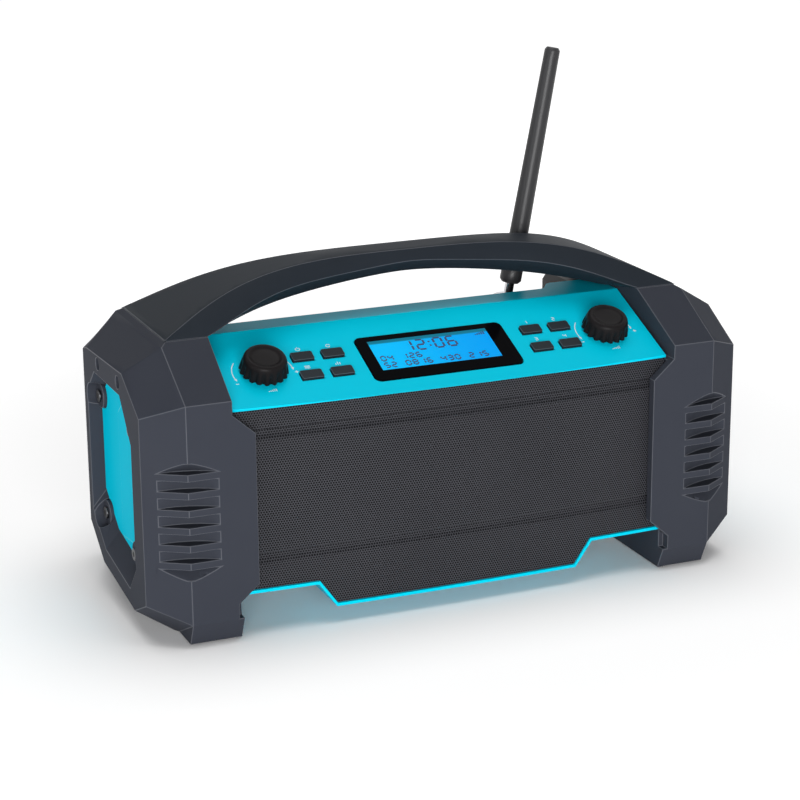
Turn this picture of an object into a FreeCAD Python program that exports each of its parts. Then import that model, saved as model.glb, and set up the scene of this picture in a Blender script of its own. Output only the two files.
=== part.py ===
import FreeCAD, Part
import math
import os
import Sketcher

# Jobsite radio: two faceted end frames and an arched handle round a speaker housing.
# Frame: X to the right, Y to the back, Z up, millimetres.
# Origin: on the floor, at the middle of the width and of the depth.

Vector = FreeCAD.Vector
doc = FreeCAD.newDocument("JobsiteRadio")

# Driving dimensions: name, value, what it is
rows = [
    ("overall_width", 330.0, "over both end frames"),
    ("overall_depth", 152.0, "over the front and back of the end frames"),
    ("overall_height", 175.0, "floor to the top of the handle"),
    ("seam", 0.3, "clearance between pieces that are fitted together"),
    # end frame, given for the right one and measured from the middle of the radio
    ("frame_inner", 120.0, "inner wall of the end frame"),
    ("corner_edge", 145.1, "vertical edge between front facet and corner facet"),
    ("shoulder_x", 142.2, "outer end of the crease under the handle"),
    ("shoulder_z", 147.5, "height of the seat under the handle"),
    ("shoulder_half", 37.0, "half depth of the seat under the handle"),
    ("facet_top", 125.5, "top of the upright front facet"),
    ("facet_foot", 12.9, "bottom of the upright front facet"),
    ("notch_upper", 121.6, "inner edge above the grille"),
    ("notch_upper_z", 118.2, "lower end of the inner edge above the grille"),
    ("waist", 109.9, "inner edge beside the grille"),
    ("waist_top", 107.8, "top of the inner edge beside the grille"),
    ("waist_foot", 29.7, "bottom of the inner edge beside the grille"),
    ("notch_lower", 120.7, "inner edge above the foot"),
    ("notch_lower_z", 20.3, "top of the inner edge above the foot"),
    ("rail_inner", 118.0, "inner face of the skid rail"),
    ("foot_setback", 6.0, "how far the foot's sole lies behind its front face"),
    ("wing_depth", 5.2, "thickness of the wings in front of the grille"),
    # outer ring of the end frame, as a polygon in depth and height
    ("ring_front", 63.2, "front edge of the ring, in front of the middle"),
    ("ring_front_foot", 21.7, "bottom of the ring's front edge"),
    ("ring_front_top", 118.1, "top of the ring's front edge"),
    ("ring_roof_half", 36.0, "half length of the ring's top edge"),
    ("ring_roof_front", 133.8, "height of the ring's top edge at the front"),
    ("ring_roof_back", 129.0, "height of the ring's top edge at the back"),
    ("ring_back", 35.0, "back edge of the ring, behind the middle"),
    ("ring_back_foot", 35.1, "bottom of the ring's back edge"),
    ("ring_heel", 12.0, "ring's lower back corner, behind the middle"),
    ("ring_heel_z", 19.0, "height of the ring's lower back corner"),
    ("ring_toe", 42.7, "ring's lower front corner, in front of the middle"),
    ("ring_toe_z", 12.0, "height of the ring's lower front corner"),
    ("sole_half", 50.0, "half length of the sole outside the foot"),
    # recess in the ring with its coloured panel
    ("recess_depth", 8.0, "depth of the side recess"),
    ("rim_front", 15.0, "rim in front of the recess"),
    ("rim_back", 5.5, "rim behind the recess"),
    ("rim_top", 12.0, "rim above the recess"),
    ("rim_foot", 8.0, "rim below the recess"),
    ("wall_draft", 4.0, "how far the recess walls lean in"),
    ("floor_rise", 12.0, "how far the lower wall of the recess leans in"),
    ("panel_thick", 1.2, "thickness of the side panel"),
    ("band_rise", 0.8, "height of the raised band on the side panel"),
    ("boss_radius", 6.5, "screw boss in the recess"),
    ("boss_height", 3.0, "height of a screw boss above the recess floor"),
    ("side_screw_radius", 3.2, "head of a side panel screw"),
    ("side_screw_head", 1.2, "height of a side panel screw head"),
    ("frame_screw_radius", 2.9, "head of a frame screw"),
    ("frame_hole_depth", 4.0, "depth of a frame screw's sunk hole"),
    # ribbed grip over the corner edge
    ("grip_radius", 45.0, "radius of a grip groove, seen from above"),
    ("grip_bite", 7.0, "depth of a grip groove at the corner edge"),
    ("grip_foot", 36.5, "bottom of the grip"),
    ("grip_pitch", 9.1, "distance from groove to groove"),
    ("grip_gap", 5.4, "height of a groove"),
    ("grip_grooves", 7.0, "number of grooves"),
    # handle, sections at the middle, at a half, at three quarters and at the frame
    ("grip_half_top", 9.1, "half depth of the handle's flat top in the middle"),
    ("grip_half_wide", 13.0, "half depth of the handle at its widest line in the middle"),
    ("grip_half_under", 5.0, "half depth of the underside in the middle"),
    ("grip_wide_drop", 5.7, "from the top down to the widest line in the middle"),
    ("grip_thick", 12.5, "thickness of the handle in the middle"),
    # housing between the frames
    ("housing_back", 70.0, "back face of the housing, behind the middle"),
    ("housing_front", 67.4, "front wall at the ends, in front of the middle"),
    ("front_bow", 3.0, "how far the front bows out in the middle"),
    ("housing_split", 1.6, "joint between front and rear housing, behind the middle"),
    ("housing_wall", 2.5, "wall of the housings"),
    ("end_foot", 22.5, "underside of the housing at its ends"),
    ("belly_foot", 9.3, "underside of the housing in the middle"),
    ("belly_half", 67.5, "half width of the low middle part"),
    ("belly_step", 9.5, "width of the slope beside the low middle part"),
    ("panel_front_z", 119.6, "front edge of the control panel"),
    ("panel_slope", 22.9, "slope of the control panel in degrees"),
    ("strip_z", 142.6, "top strip behind the control panel"),
    ("lip_thick", 1.7, "trim under the grille"),
    ("strip_wing_x", 87.0, "where the top strip widens"),
    ("strip_wing", 11.6, "back edge of the wide part, behind the middle"),
    ("channel_z", 121.0, "floor of the antenna channel"),
    ("channel_back", 48.0, "back edge of the channel, behind the middle"),
    ("back_top", 105.0, "top of the upright back face"),
    ("block_x", 104.0, "inner end of the block beside the channel"),
    ("block_z", 140.5, "top of the block beside the channel"),
    # grille
    ("grille_thick", 2.0, "thickness of the grille"),
    ("grille_relief", 1.0, "how far the middle field stands out"),
    ("field_top", 104.0, "top of the middle field"),
    ("field_foot", 41.5, "bottom of the middle field"),
    ("field_bevel", 2.2, "height of the bevel round the middle field"),
    # control panel, measured up the slope from its front edge
    ("bezel_wide", 82.4, "display bezel, width"),
    ("bezel_tall", 35.4, "display bezel, up the slope"),
    ("bezel_at", 24.4, "middle of the display bezel, up the slope"),
    ("bezel_corner", 3.5, "corner radius of the bezel"),
    ("bezel_rise", 0.5, "how far the bezel stands out"),
    ("window_wide", 66.5, "display window, width"),
    ("window_tall", 24.0, "display window, up the slope"),
    ("window_at", 26.4, "middle of the display window, up the slope"),
    ("window_shift", -1.6, "middle of the display window, sideways"),
    ("key_wide", 11.5, "push button, width"),
    ("key_tall", 6.4, "push button, up the slope"),
    ("key_rise", 1.3, "how far a button stands out"),
    ("key_travel", 0.8, "how far a button goes in"),
    ("key_gap", 0.3, "gap round a button"),
    ("key_inner", 55.6, "inner column of buttons"),
    ("key_outer", 72.0, "outer column of buttons"),
    ("key_low", 17.8, "lower row of buttons, up the slope"),
    ("key_high", 32.6, "upper row of buttons, up the slope"),
    ("knob_x", 95.3, "middle of a knob"),
    ("knob_at", 24.6, "middle of a knob, up the slope"),
    ("knob_radius", 12.6, "knob at its foot"),
    ("knob_crown", 9.6, "knob at its top"),
    ("knob_height", 9.4, "height of a knob"),
    ("knob_dish", 7.6, "radius of the dish in a knob's top"),
    ("knob_flutes", 18.0, "grip flutes round a knob"),
    ("knob_travel", 0.6, "how far a knob pushes in"),
    ("knob_gap", 1.0, "gap under a knob"),
    ("shaft_radius", 3.0, "rotary encoder shaft"),
    ("shaft_fit", 0.05, "running clearance round a shaft"),
    # loudspeakers
    ("speaker_x", 68.0, "middle of a loudspeaker"),
    ("speaker_z", 72.0, "height of a loudspeaker's middle"),
    ("speaker_radius", 39.0, "flange of a loudspeaker"),
    ("speaker_mouth", 34.0, "opening in front of a loudspeaker"),
    ("speaker_depth", 30.0, "depth of a loudspeaker behind its flange"),
    # antenna
    ("antenna_x", 75.1, "antenna pivot, to the right of the middle"),
    ("antenna_y", 30.0, "antenna pivot, behind the middle"),
    ("pin_z", 130.0, "height of the antenna's tilt pin"),
    ("antenna_lean", 10.9, "lean of the antenna to the right, in degrees"),
    ("antenna_length", 141.0, "pin to the tip of the antenna"),
    ("mast_foot_radius", 5.4, "mast above its collar"),
    ("mast_tip_radius", 4.2, "mast at its tip"),
    ("collar_radius", 6.0, "collar at the foot of the mast"),
    ("collar_from", 10.5, "pin to the foot of the collar"),
    ("collar_length", 8.0, "length of the collar"),
    ("neck_radius", 2.6, "plated neck between pin and collar"),
    ("turret_radius", 7.5, "turret that carries the tilt pin"),
    ("fork_gap", 5.4, "gap in the turret's fork"),
    ("pin_radius", 1.25, "tilt pin"),
    # back
    ("port_x", -62.0, "middle of the port cover"),
    ("port_z", 52.0, "height of the port cover's middle"),
    ("port_wide", 54.0, "port recess, width"),
    ("port_tall", 24.0, "port recess, height"),
    ("port_deep", 8.0, "port recess, depth"),
    ("cover_thick", 2.4, "port cover"),
    ("hinge_radius", 1.6, "port cover hinge barrel"),
    ("battery_x", 30.0, "middle of the battery cover"),
    ("battery_z", 60.0, "height of the battery cover's middle"),
    ("battery_wide", 92.0, "battery cover, width"),
    ("battery_tall", 52.0, "battery cover, height"),
    ("battery_deep", 30.0, "battery bay, depth"),
    ("pad_radius", 6.0, "foot pad"),
    ("pad_rise", 0.8, "how far a foot pad stands out of the sole"),
    ("pad_at", 44.0, "foot pad, in front of and behind the middle"),
]

sheet = doc.addObject("Spreadsheet::Sheet", "Sizes")
size_values = {}
for number, (alias, amount, note) in enumerate(rows, start=1):
    cell_name = "A" + str(number)
    sheet.set(cell_name, str(amount))
    sheet.setAlias(cell_name, alias)
    sheet.set("B" + str(number), note)
    size_values[alias] = amount
doc.recompute()


# A formula over the sheet together with its value now.
# Sketches start at the value, and the formula is what stays bound.
class Size:
    def __init__(self, text, value):
        self.text = text
        self.value = float(value)

    def __add__(self, other):
        other = as_size(other)
        return Size("(" + self.text + " + " + other.text + ")", self.value + other.value)

    def __radd__(self, other):
        return as_size(other) + self

    def __sub__(self, other):
        other = as_size(other)
        return Size("(" + self.text + " - " + other.text + ")", self.value - other.value)

    def __rsub__(self, other):
        return as_size(other) - self

    def __mul__(self, other):
        other = as_size(other)
        return Size("(" + self.text + " * " + other.text + ")", self.value * other.value)

    def __rmul__(self, other):
        return as_size(other) * self

    def __truediv__(self, other):
        other = as_size(other)
        return Size("(" + self.text + " / " + other.text + ")", self.value / other.value)

    def __neg__(self):
        return Size("(-" + self.text + ")", -self.value)


def as_size(amount):
    if isinstance(amount, Size):
        return amount
    return Size("(" + repr(float(amount)) + ")", amount)


def cell(alias):
    return Size("Sizes." + alias, size_values[alias])


def trig(function, degrees):
    value = {"sin": math.sin, "cos": math.cos, "tan": math.tan}[function](math.radians(degrees.value))
    return Size(function + "(" + degrees.text + " * 1 deg)", value)


def root(size):
    return Size("sqrt(" + size.text + ")", math.sqrt(size.value))


def bind(thing, path, size):
    size = as_size(size)
    if path.endswith("Angle"):
        thing.setExpression(path, size.text + " * 1 deg")
    else:
        thing.setExpression(path, size.text)


# Puts an object at a place, turned about one axis by an angle in degrees
def place(thing, x=0.0, y=0.0, z=0.0, axis=Vector(0, 0, 1), angle=0.0):
    turn = FreeCAD.Rotation(axis, as_size(angle).value)
    thing.Placement = FreeCAD.Placement(Vector(0, 0, 0), turn)
    for letter, amount in (("x", x), ("y", y), ("z", z)):
        bind(thing, "Placement.Base." + letter, amount)
    if isinstance(angle, Size):
        bind(thing, "Placement.Rotation.Angle", angle)
    return thing


# Which way each plane's normal points along its own axis
plane_sign = {"XY_Plane": 1.0, "XZ_Plane": -1.0, "YZ_Plane": 1.0}


def new_sketch(body, plane, offset):
    sketch = body.newObject("Sketcher::SketchObject", body.Label + "_sketch")
    support = [one for one in body.Origin.OriginFeatures if one.Role == plane][0]
    sketch.AttachmentSupport = [(support, "")]
    sketch.MapMode = "FlatFace"
    bind(sketch, "AttachmentOffset.Base.z", as_size(offset) * plane_sign[plane])
    return sketch


def tie(sketch, line, end, point):
    for kind, amount in zip(("DistanceX", "DistanceY"), point):
        amount = as_size(amount)
        index = sketch.addConstraint(Sketcher.Constraint(kind, -1, 1, line, end, amount.value))
        sketch.setExpression("Constraints[" + str(index) + "]", amount.text)


def draw_polygon(sketch, points):
    corners = [Vector(as_size(across).value, as_size(up).value, 0) for across, up in points]
    count = len(corners)
    first = sketch.GeometryCount
    for index in range(count):
        sketch.addGeometry(Part.LineSegment(corners[index], corners[(index + 1) % count]), False)
    for index in range(count):
        after = first + (index + 1) % count
        sketch.addConstraint(Sketcher.Constraint("Coincident", first + index, 2, after, 1))
    for index, point in enumerate(points):
        tie(sketch, first + index, 1, point)


def draw_circle(sketch, centre, radius):
    middle = Vector(as_size(centre[0]).value, as_size(centre[1]).value, 0)
    line = sketch.addGeometry(Part.Circle(middle, Vector(0, 0, 1), as_size(radius).value), False)
    tie(sketch, line, 3, centre)
    index = sketch.addConstraint(Sketcher.Constraint("Radius", line, as_size(radius).value))
    sketch.setExpression("Constraints[" + str(index) + "]", as_size(radius).text)


def new_body(name):
    body = doc.addObject("PartDesign::Body", name)
    body.Label = name
    return body


# A pad between two coordinates along the plane's own axis, from outlines and circles
def prism(name, plane, points, start, end, circles=()):
    body = new_body(name)
    start = as_size(start)
    end = as_size(end)
    sketch = new_sketch(body, plane, (start + end) / 2)
    if points:
        draw_polygon(sketch, points)
    for centre, radius in circles:
        draw_circle(sketch, centre, radius)
    pad = body.newObject("PartDesign::Pad", name + "_pad")
    pad.Profile = sketch
    pad.SideType = "Symmetric"
    bind(pad, "Length", end - start)
    return body


def rectangle(low_x, high_x, low_y, high_y):
    return [(low_x, low_y), (high_x, low_y), (high_x, high_y), (low_x, high_y)]


# A ruled or smooth loft through outlines at several places along the plane's own axis
def loft(name, plane, sections, ruled=True):
    body = new_body(name)
    sketches = []
    for offset, points in sections:
        sketch = new_sketch(body, plane, offset)
        draw_polygon(sketch, points)
        sketches.append(sketch)
    solid = body.newObject("PartDesign::AdditiveLoft", name + "_loft")
    solid.Profile = sketches[0]
    solid.Sections = sketches[1:]
    solid.Ruled = ruled
    return body


def combine(kind, name, pieces):
    solid = doc.addObject(kind, name)
    solid.Label = name
    solid.Shapes = pieces
    return solid


def common(name, *pieces):
    return combine("Part::MultiCommon", name, list(pieces))


def fuse(name, *pieces):
    return combine("Part::MultiFuse", name, list(pieces))


def cut(name, base, *tools):
    solid = doc.addObject("Part::Cut", name)
    solid.Label = name
    solid.Base = base
    if len(tools) == 1:
        solid.Tool = tools[0]
    else:
        solid.Tool = fuse(name + "_tools", *tools)
    return solid


def group(name, *pieces):
    solid = doc.addObject("Part::Compound", name)
    solid.Label = name
    solid.Links = list(pieces)
    return solid


def mirror(name, source):
    solid = doc.addObject("Part::Mirroring", name)
    solid.Label = name
    solid.Source = source
    solid.Normal = Vector(1, 0, 0)
    return solid


turns = {
    "+X": (Vector(0, 1, 0), 90.0),
    "-X": (Vector(0, 1, 0), -90.0),
    "+Y": (Vector(1, 0, 0), -90.0),
    "-Y": (Vector(1, 0, 0), 90.0),
    "+Z": (Vector(0, 0, 1), 0.0),
}


# A round bar that starts at a place and runs along an axis
def bar(name, radius, length, x=0.0, y=0.0, z=0.0, along="+Z"):
    solid = doc.addObject("Part::Cylinder", name)
    solid.Label = name
    bind(solid, "Radius", radius)
    bind(solid, "Height", length)
    axis, angle = turns[along]
    return place(solid, x, y, z, axis, angle)


def cone(name, first_radius, last_radius, length, x=0.0, y=0.0, z=0.0, along="+Z"):
    solid = doc.addObject("Part::Cone", name)
    solid.Label = name
    bind(solid, "Radius1", first_radius)
    bind(solid, "Radius2", last_radius)
    bind(solid, "Height", length)
    axis, angle = turns[along]
    return place(solid, x, y, z, axis, angle)


def box(name, low, high):
    solid = doc.addObject("Part::Box", name)
    solid.Label = name
    for path, near, far in zip(("Length", "Width", "Height"), low, high):
        bind(solid, path, as_size(far) - near)
    return place(solid, low[0], low[1], low[2])


def rounded(name, base, radius, edge_test):
    doc.recompute()
    solid = doc.addObject("Part::Fillet", name)
    solid.Label = name
    solid.Base = base
    chosen = [i + 1 for i, edge in enumerate(base.Shape.Edges) if edge_test(edge)]
    solid.Edges = [(index, radius, radius) for index in chosen]
    return solid


half_width = cell("overall_width") / 2
half_depth = cell("overall_depth") / 2
seam = cell("seam")

# End frame
# The inner part comes from its front view and its side view.
# The outer part is a ruled loft from the corner edges to the ring: it has every facet.
inner = cell("frame_inner")
corner = cell("corner_edge")
shoulder_x = cell("shoulder_x")
shoulder_z = cell("shoulder_z")
shoulder_half = cell("shoulder_half")
facet_top = cell("facet_top")
facet_foot = cell("facet_foot")
roof_fall = (shoulder_z - cell("ring_roof_front")) / (half_width - shoulder_x)
corner_roof_z = shoulder_z - roof_fall * (corner - shoulder_x)
tilt_run = (half_depth - shoulder_half) / (shoulder_z - facet_top)
corner_roof_half = shoulder_half + tilt_run * (shoulder_z - corner_roof_z)
rail_inner = cell("rail_inner")
end_foot = cell("end_foot")
wing_face = half_depth - cell("wing_depth")

front_outline = [
    (inner, shoulder_z),
    (cell("notch_upper"), facet_top),
    (cell("notch_upper"), cell("notch_upper_z")),
    (cell("waist"), cell("waist_top")),
    (cell("waist"), cell("waist_foot")),
    (cell("notch_lower"), cell("notch_lower_z")),
    (cell("notch_lower"), facet_foot),
    (rail_inner, facet_foot),
    (rail_inner, 0.0),
    (corner, 0.0),
    (corner, corner_roof_z),
    (shoulder_x, shoulder_z),
]
foot_half = half_depth - cell("foot_setback")
side_outline = [
    (-foot_half, 0.0),
    (foot_half, 0.0),
    (half_depth, facet_foot),
    (half_depth, facet_top),
    (shoulder_half, shoulder_z),
    (-shoulder_half, shoulder_z),
    (-half_depth, facet_top),
    (-half_depth, facet_foot),
]
corner_outline = [
    (-cell("sole_half"), 0.0),
    (cell("sole_half"), 0.0),
    (half_depth, facet_foot),
    (half_depth, facet_top),
    (corner_roof_half, corner_roof_z),
    (-corner_roof_half, corner_roof_z),
    (-half_depth, facet_top),
    (-half_depth, facet_foot),
]
ring_outline = [
    (-cell("ring_toe"), cell("ring_toe_z")),
    (cell("ring_heel"), cell("ring_heel_z")),
    (cell("ring_back"), cell("ring_back_foot")),
    (cell("ring_back"), cell("ring_roof_back")),
    (cell("ring_roof_half") - 8.0, cell("ring_roof_back") + 2.0),
    (-cell("ring_roof_half"), cell("ring_roof_front")),
    (-cell("ring_front"), cell("ring_front_top")),
    (-cell("ring_front"), cell("ring_front_foot")),
]

frame_front = prism("frame_front_view", "XZ_Plane", front_outline, -half_depth, half_depth)
frame_side = prism("frame_side_view", "YZ_Plane", side_outline, cell("waist") - 1.0, corner)
frame_inside = common("frame_inside", frame_front, frame_side)
frame_outside = loft("frame_outside", "YZ_Plane", [(corner, corner_outline), (half_width, ring_outline)])
rail = box("skid_rail", (rail_inner, -wing_face, 0.0), (inner + 1.0, wing_face, end_foot))
frame_cavity = box(
    "frame_cavity",
    (cell("waist") - 2.0, -wing_face, end_foot),
    (inner, wing_face, shoulder_z + 1.0),
)
frame_solid = fuse("frame_solid", frame_inside, frame_outside, rail)

# Side recess: a drafted pocket inside the ring
recess_front = cell("ring_front") - cell("rim_front")
recess_back = cell("ring_back") - cell("rim_back")
recess_top = cell("ring_roof_front") - cell("rim_top")
recess_foot = cell("ring_toe_z") + cell("rim_foot")
draft = cell("wall_draft")
rise = cell("floor_rise")
recess_x = half_width - cell("recess_depth")


def recess_outline(front, back, top, foot):
    return [
        (-(front - 12.0), foot),
        (back - 22.0, foot + 6.0),
        (back, foot + 22.0),
        (back, top - 13.0),
        (back - 14.0, top),
        (-(front - 17.0), top),
        (-front, top - 21.0),
        (-front, foot + 14.0),
    ]


mouth = recess_outline(recess_front, recess_back, recess_top, recess_foot)
floor = recess_outline(
    recess_front - draft, recess_back - draft / 2, recess_top - draft, recess_foot + rise
)
recess = loft("side_recess", "YZ_Plane", [(recess_x, floor), (half_width + 1.0, mouth)])

# Screw bosses stand on the recess floor, near the corners of the panel
boss_spots = [
    (-(recess_front - 17.0), recess_top - 19.0),
    (recess_back - 6.0, recess_top - 16.0),
    (recess_back - 9.5, recess_foot + 23.0),
    (-(recess_front - 17.0), recess_foot + 17.5),
]
boss_x = recess_x + cell("boss_height")
bosses = []
boss_rooms = []
boss_clear = []
side_screws = []
for index, (boss_y, boss_z) in enumerate(boss_spots):
    tag = "_" + str(index)
    bosses.append(
        bar("boss" + tag, cell("boss_radius"), cell("boss_height") + 2.0, recess_x - 2.0, boss_y, boss_z, "+X")
    )
    boss_rooms.append(
        bar("boss_room" + tag, cell("boss_radius") + 0.8, 20.0, recess_x, boss_y, boss_z, "+X")
    )
    boss_clear.append(
        bar("boss_clear" + tag, cell("boss_radius") + seam, 20.0, recess_x - 5.0, boss_y, boss_z, "+X")
    )
    side_screws.append(
        bar(
            "side_screw" + tag,
            cell("side_screw_radius"),
            cell("side_screw_head"),
            boss_x,
            boss_y,
            boss_z,
            "+X",
        )
    )

# Two sunk frame screws above the recess
frame_screw_spots = [
    (-cell("ring_roof_half") + 8.0, recess_top + 5.5),
    (cell("ring_roof_half") - 28.0, recess_top + 5.5),
]
frame_holes = []
frame_screws = []
for index, (hole_y, hole_z) in enumerate(frame_screw_spots):
    tag = "_" + str(index)
    seat_x = half_width - cell("frame_hole_depth")
    frame_holes.append(
        bar("frame_hole" + tag, cell("frame_screw_radius") + seam, 20.0, seat_x, hole_y, hole_z, "+X")
    )
    frame_screws.append(
        bar("frame_screw" + tag, cell("frame_screw_radius"), 1.6, seat_x, hole_y, hole_z, "+X")
    )

# Grip: grooves shaped like discs bite the corner edge, the end ones run out as cones
edge_run = half_width - corner
edge_setback = half_depth - cell("ring_front")
edge_length = root(edge_run * edge_run + edge_setback * edge_setback)
# direction halfway between the normals of the front facet and the corner facet
lean_x = edge_setback / edge_length
lean_y = edge_run / edge_length + 1.0
lean_length = root(lean_x * lean_x + lean_y * lean_y)
reach = cell("grip_radius") - cell("grip_bite")
grip_x = corner + reach * lean_x / lean_length
grip_y = -half_depth - reach * lean_y / lean_length
groove_count = int(size_values["grip_grooves"])
grip_cuts = []
for index in range(groove_count):
    groove_z = cell("grip_foot") + cell("grip_pitch") * index
    groove_name = "grip_groove_" + str(index)
    small = cell("grip_radius") - cell("grip_bite") * 0.9
    if index == 0:
        groove = cone(groove_name, small, cell("grip_radius"), cell("grip_gap"), grip_x, grip_y, groove_z)
    elif index == groove_count - 1:
        groove = cone(groove_name, cell("grip_radius"), small, cell("grip_gap"), grip_x, grip_y, groove_z)
    else:
        groove = bar(groove_name, cell("grip_radius"), cell("grip_gap"), grip_x, grip_y, groove_z)
    grip_cuts.append(groove)

# Seats for the foot pads under the sole
pad_x = (rail_inner + corner) / 2
pad_sink = 1.2
pad_seats = []
pads = []
for index, side in enumerate((-1.0, 1.0)):
    tag = "_" + str(index)
    pad_y = cell("pad_at") * side
    pad_top = cell("pad_rise") + pad_sink
    pad_seats.append(
        bar("pad_seat" + tag, cell("pad_radius") + seam, pad_top + 1.0, pad_x, pad_y, -1.0)
    )
    pads.append(bar("pad" + tag, cell("pad_radius"), pad_top, pad_x, pad_y, 0.0))
sole_clear = box("sole_clear", (rail_inner - 1.0, -half_depth, -1.0), (half_width, half_depth, cell("pad_rise")))

frame_cuts = [frame_cavity, recess, sole_clear] + pad_seats + frame_holes + grip_cuts
frame_cut = cut("frame_cut", frame_solid, *frame_cuts)
# a boss near the rim has room of its own, which scallops the recess wall
frame_roomy = cut("frame_roomy", frame_cut, *boss_rooms)
right_frame = fuse("right_end_frame", frame_roomy, *bosses)
left_frame = mirror("left_end_frame", right_frame)

# Side panel: a coloured plate on the recess floor, with a raised band towards the front
panel_outline = recess_outline(
    recess_front - draft - seam,
    recess_back - draft / 2 - seam,
    recess_top - draft - seam,
    recess_foot + rise + seam,
)
panel_face = recess_x + cell("panel_thick")
side_plate = prism("side_plate", "YZ_Plane", panel_outline, recess_x, panel_face)
band_outline = [
    (-(recess_front - 13.0), recess_foot + rise + 9.0),
    (-4.0, recess_foot + rise + 5.0),
    (-4.0, recess_top - draft - 12.0),
    (-14.0, recess_top - draft - 4.0),
    (-(recess_front - 24.0), recess_top - draft - 4.0),
    (-(recess_front - 8.0), recess_top - draft - 24.0),
]
band_top = [
    (-(recess_front - 14.0), recess_foot + rise + 10.5),
    (-5.5, recess_foot + rise + 7.0),
    (-5.5, recess_top - draft - 13.0),
    (-15.0, recess_top - draft - 5.5),
    (-(recess_front - 25.0), recess_top - draft - 5.5),
    (-(recess_front - 9.5), recess_top - draft - 25.0),
]
band = loft(
    "side_band",
    "YZ_Plane",
    [(panel_face - 0.4, band_outline), (panel_face + cell("band_rise"), band_top)],
)
side_blank = fuse("side_blank", side_plate, band)
right_panel = cut("right_side_panel", side_blank, *boss_clear)
left_panel = mirror("left_side_panel", right_panel)

right_side_screws = group("right_side_screws_half", *side_screws)
left_side_screws = mirror("left_side_screws_half", right_side_screws)
side_screw_set = group("side_panel_screws", right_side_screws, left_side_screws)
right_frame_screws = group("right_frame_screws_half", *frame_screws)
left_frame_screws = mirror("left_frame_screws_half", right_frame_screws)
frame_screw_set = group("frame_screws", right_frame_screws, left_frame_screws)
right_pads = group("right_pads_half", *pads)
left_pads = mirror("left_pads_half", right_pads)
pad_set = group("foot_pads", right_pads, left_pads)


# Handle: six-sided sections that widen and come down to the seats on the end frames
def handle_section(top_half, top_z, wide_half, wide_z, under_half, under_z):
    return [
        (-as_size(top_half), top_z),
        (-as_size(wide_half), wide_z),
        (-as_size(under_half), under_z),
        (under_half, under_z),
        (wide_half, wide_z),
        (top_half, top_z),
    ]


top_z = cell("overall_height")
mid_section = handle_section(
    cell("grip_half_top"),
    top_z,
    cell("grip_half_wide"),
    top_z - cell("grip_wide_drop"),
    cell("grip_half_under"),
    top_z - cell("grip_thick"),
)
half_rise = top_z - shoulder_z
quarter_section = handle_section(
    cell("grip_half_top") + 2.2,
    top_z - half_rise * 0.05,
    cell("grip_half_wide") + 3.3,
    shoulder_z + half_rise * 0.62,
    cell("grip_half_under") + 2.0,
    shoulder_z + half_rise * 0.345,
)
bend_section = handle_section(
    shoulder_half * 0.465,
    shoulder_z + half_rise * 0.77,
    shoulder_half * 0.71,
    shoulder_z + half_rise * 0.40,
    shoulder_half * 0.36,
    shoulder_z + half_rise * 0.13,
)
root_section = handle_section(
    shoulder_half * 0.73,
    shoulder_z + half_rise * 0.40,
    shoulder_half,
    shoulder_z + 0.1,
    shoulder_half * 0.75,
    shoulder_z - half_rise * 0.12,
)
tip_section = handle_section(
    shoulder_half - 0.6,
    shoulder_z + 0.7,
    shoulder_half,
    shoulder_z + 0.1,
    shoulder_half - 4.0,
    shoulder_z - half_rise * 0.3,
)
span = shoulder_x
handle_half = [
    (0.41, quarter_section),
    (0.64, bend_section),
    (0.85, root_section),
    (1.0, tip_section),
]
handle_sections = [(-span * share, section) for share, section in reversed(handle_half)]
handle_sections.append((as_size(0.0), mid_section))
handle_sections.extend([(span * share, section) for share, section in handle_half])
arch = loft("handle_arch", "YZ_Plane", handle_sections, ruled=False)
seat_trim = box(
    "handle_seat_trim",
    (-half_width, -half_depth, shoulder_z - 30.0),
    (half_width, half_depth, shoulder_z),
)
carry_handle = cut("carry_handle", arch, seat_trim)

# Housing
# Front and rear housing share the stepped underside and meet at the split.
housing_half = inner - seam
belly_outline = [
    (-housing_half, end_foot),
    (-(cell("belly_half") + cell("belly_step")), end_foot),
    (-cell("belly_half"), cell("belly_foot")),
    (cell("belly_half"), cell("belly_foot")),
    (cell("belly_half") + cell("belly_step"), end_foot),
    (housing_half, end_foot),
    (housing_half, top_z),
    (-housing_half, top_z),
]
wall = cell("housing_wall")
belly_inner = [
    (-housing_half + wall, end_foot + wall),
    (-(cell("belly_half") + cell("belly_step")) + 1.0, end_foot + wall),
    (-cell("belly_half") + 1.0, cell("belly_foot") + wall),
    (cell("belly_half") - 1.0, cell("belly_foot") + wall),
    (cell("belly_half") + cell("belly_step") - 1.0, end_foot + wall),
    (housing_half - wall, end_foot + wall),
    (housing_half - wall, top_z),
    (-housing_half + wall, top_z),
]
slope = cell("panel_slope")
slope_tan = trig("tan", slope)
front_wall_y = -cell("housing_front")
split_y = cell("housing_split")
bow = cell("front_bow")
strip_z = cell("strip_z")
panel_front_z = cell("panel_front_z")
lip_y = front_wall_y - bow - cell("grille_thick") - seam - 3.0
# the panel's plane runs through its front edge at the ends of the housing
panel_front_y = front_wall_y - cell("grille_thick") - seam
fold_y = panel_front_y + (strip_z - panel_front_z) / slope_tan


def panel_z(depth):
    return panel_front_z + (depth - panel_front_y) * slope_tan


bow_radius = (housing_half * housing_half + bow * bow) / (2.0 * bow)


# A tall drum whose front is the bowed front of the housing, moved out by a margin
def bow_drum(name, margin):
    middle_y = front_wall_y - bow + bow_radius
    return bar(name, bow_radius + margin, top_z, 0.0, middle_y, 0.0)


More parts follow.
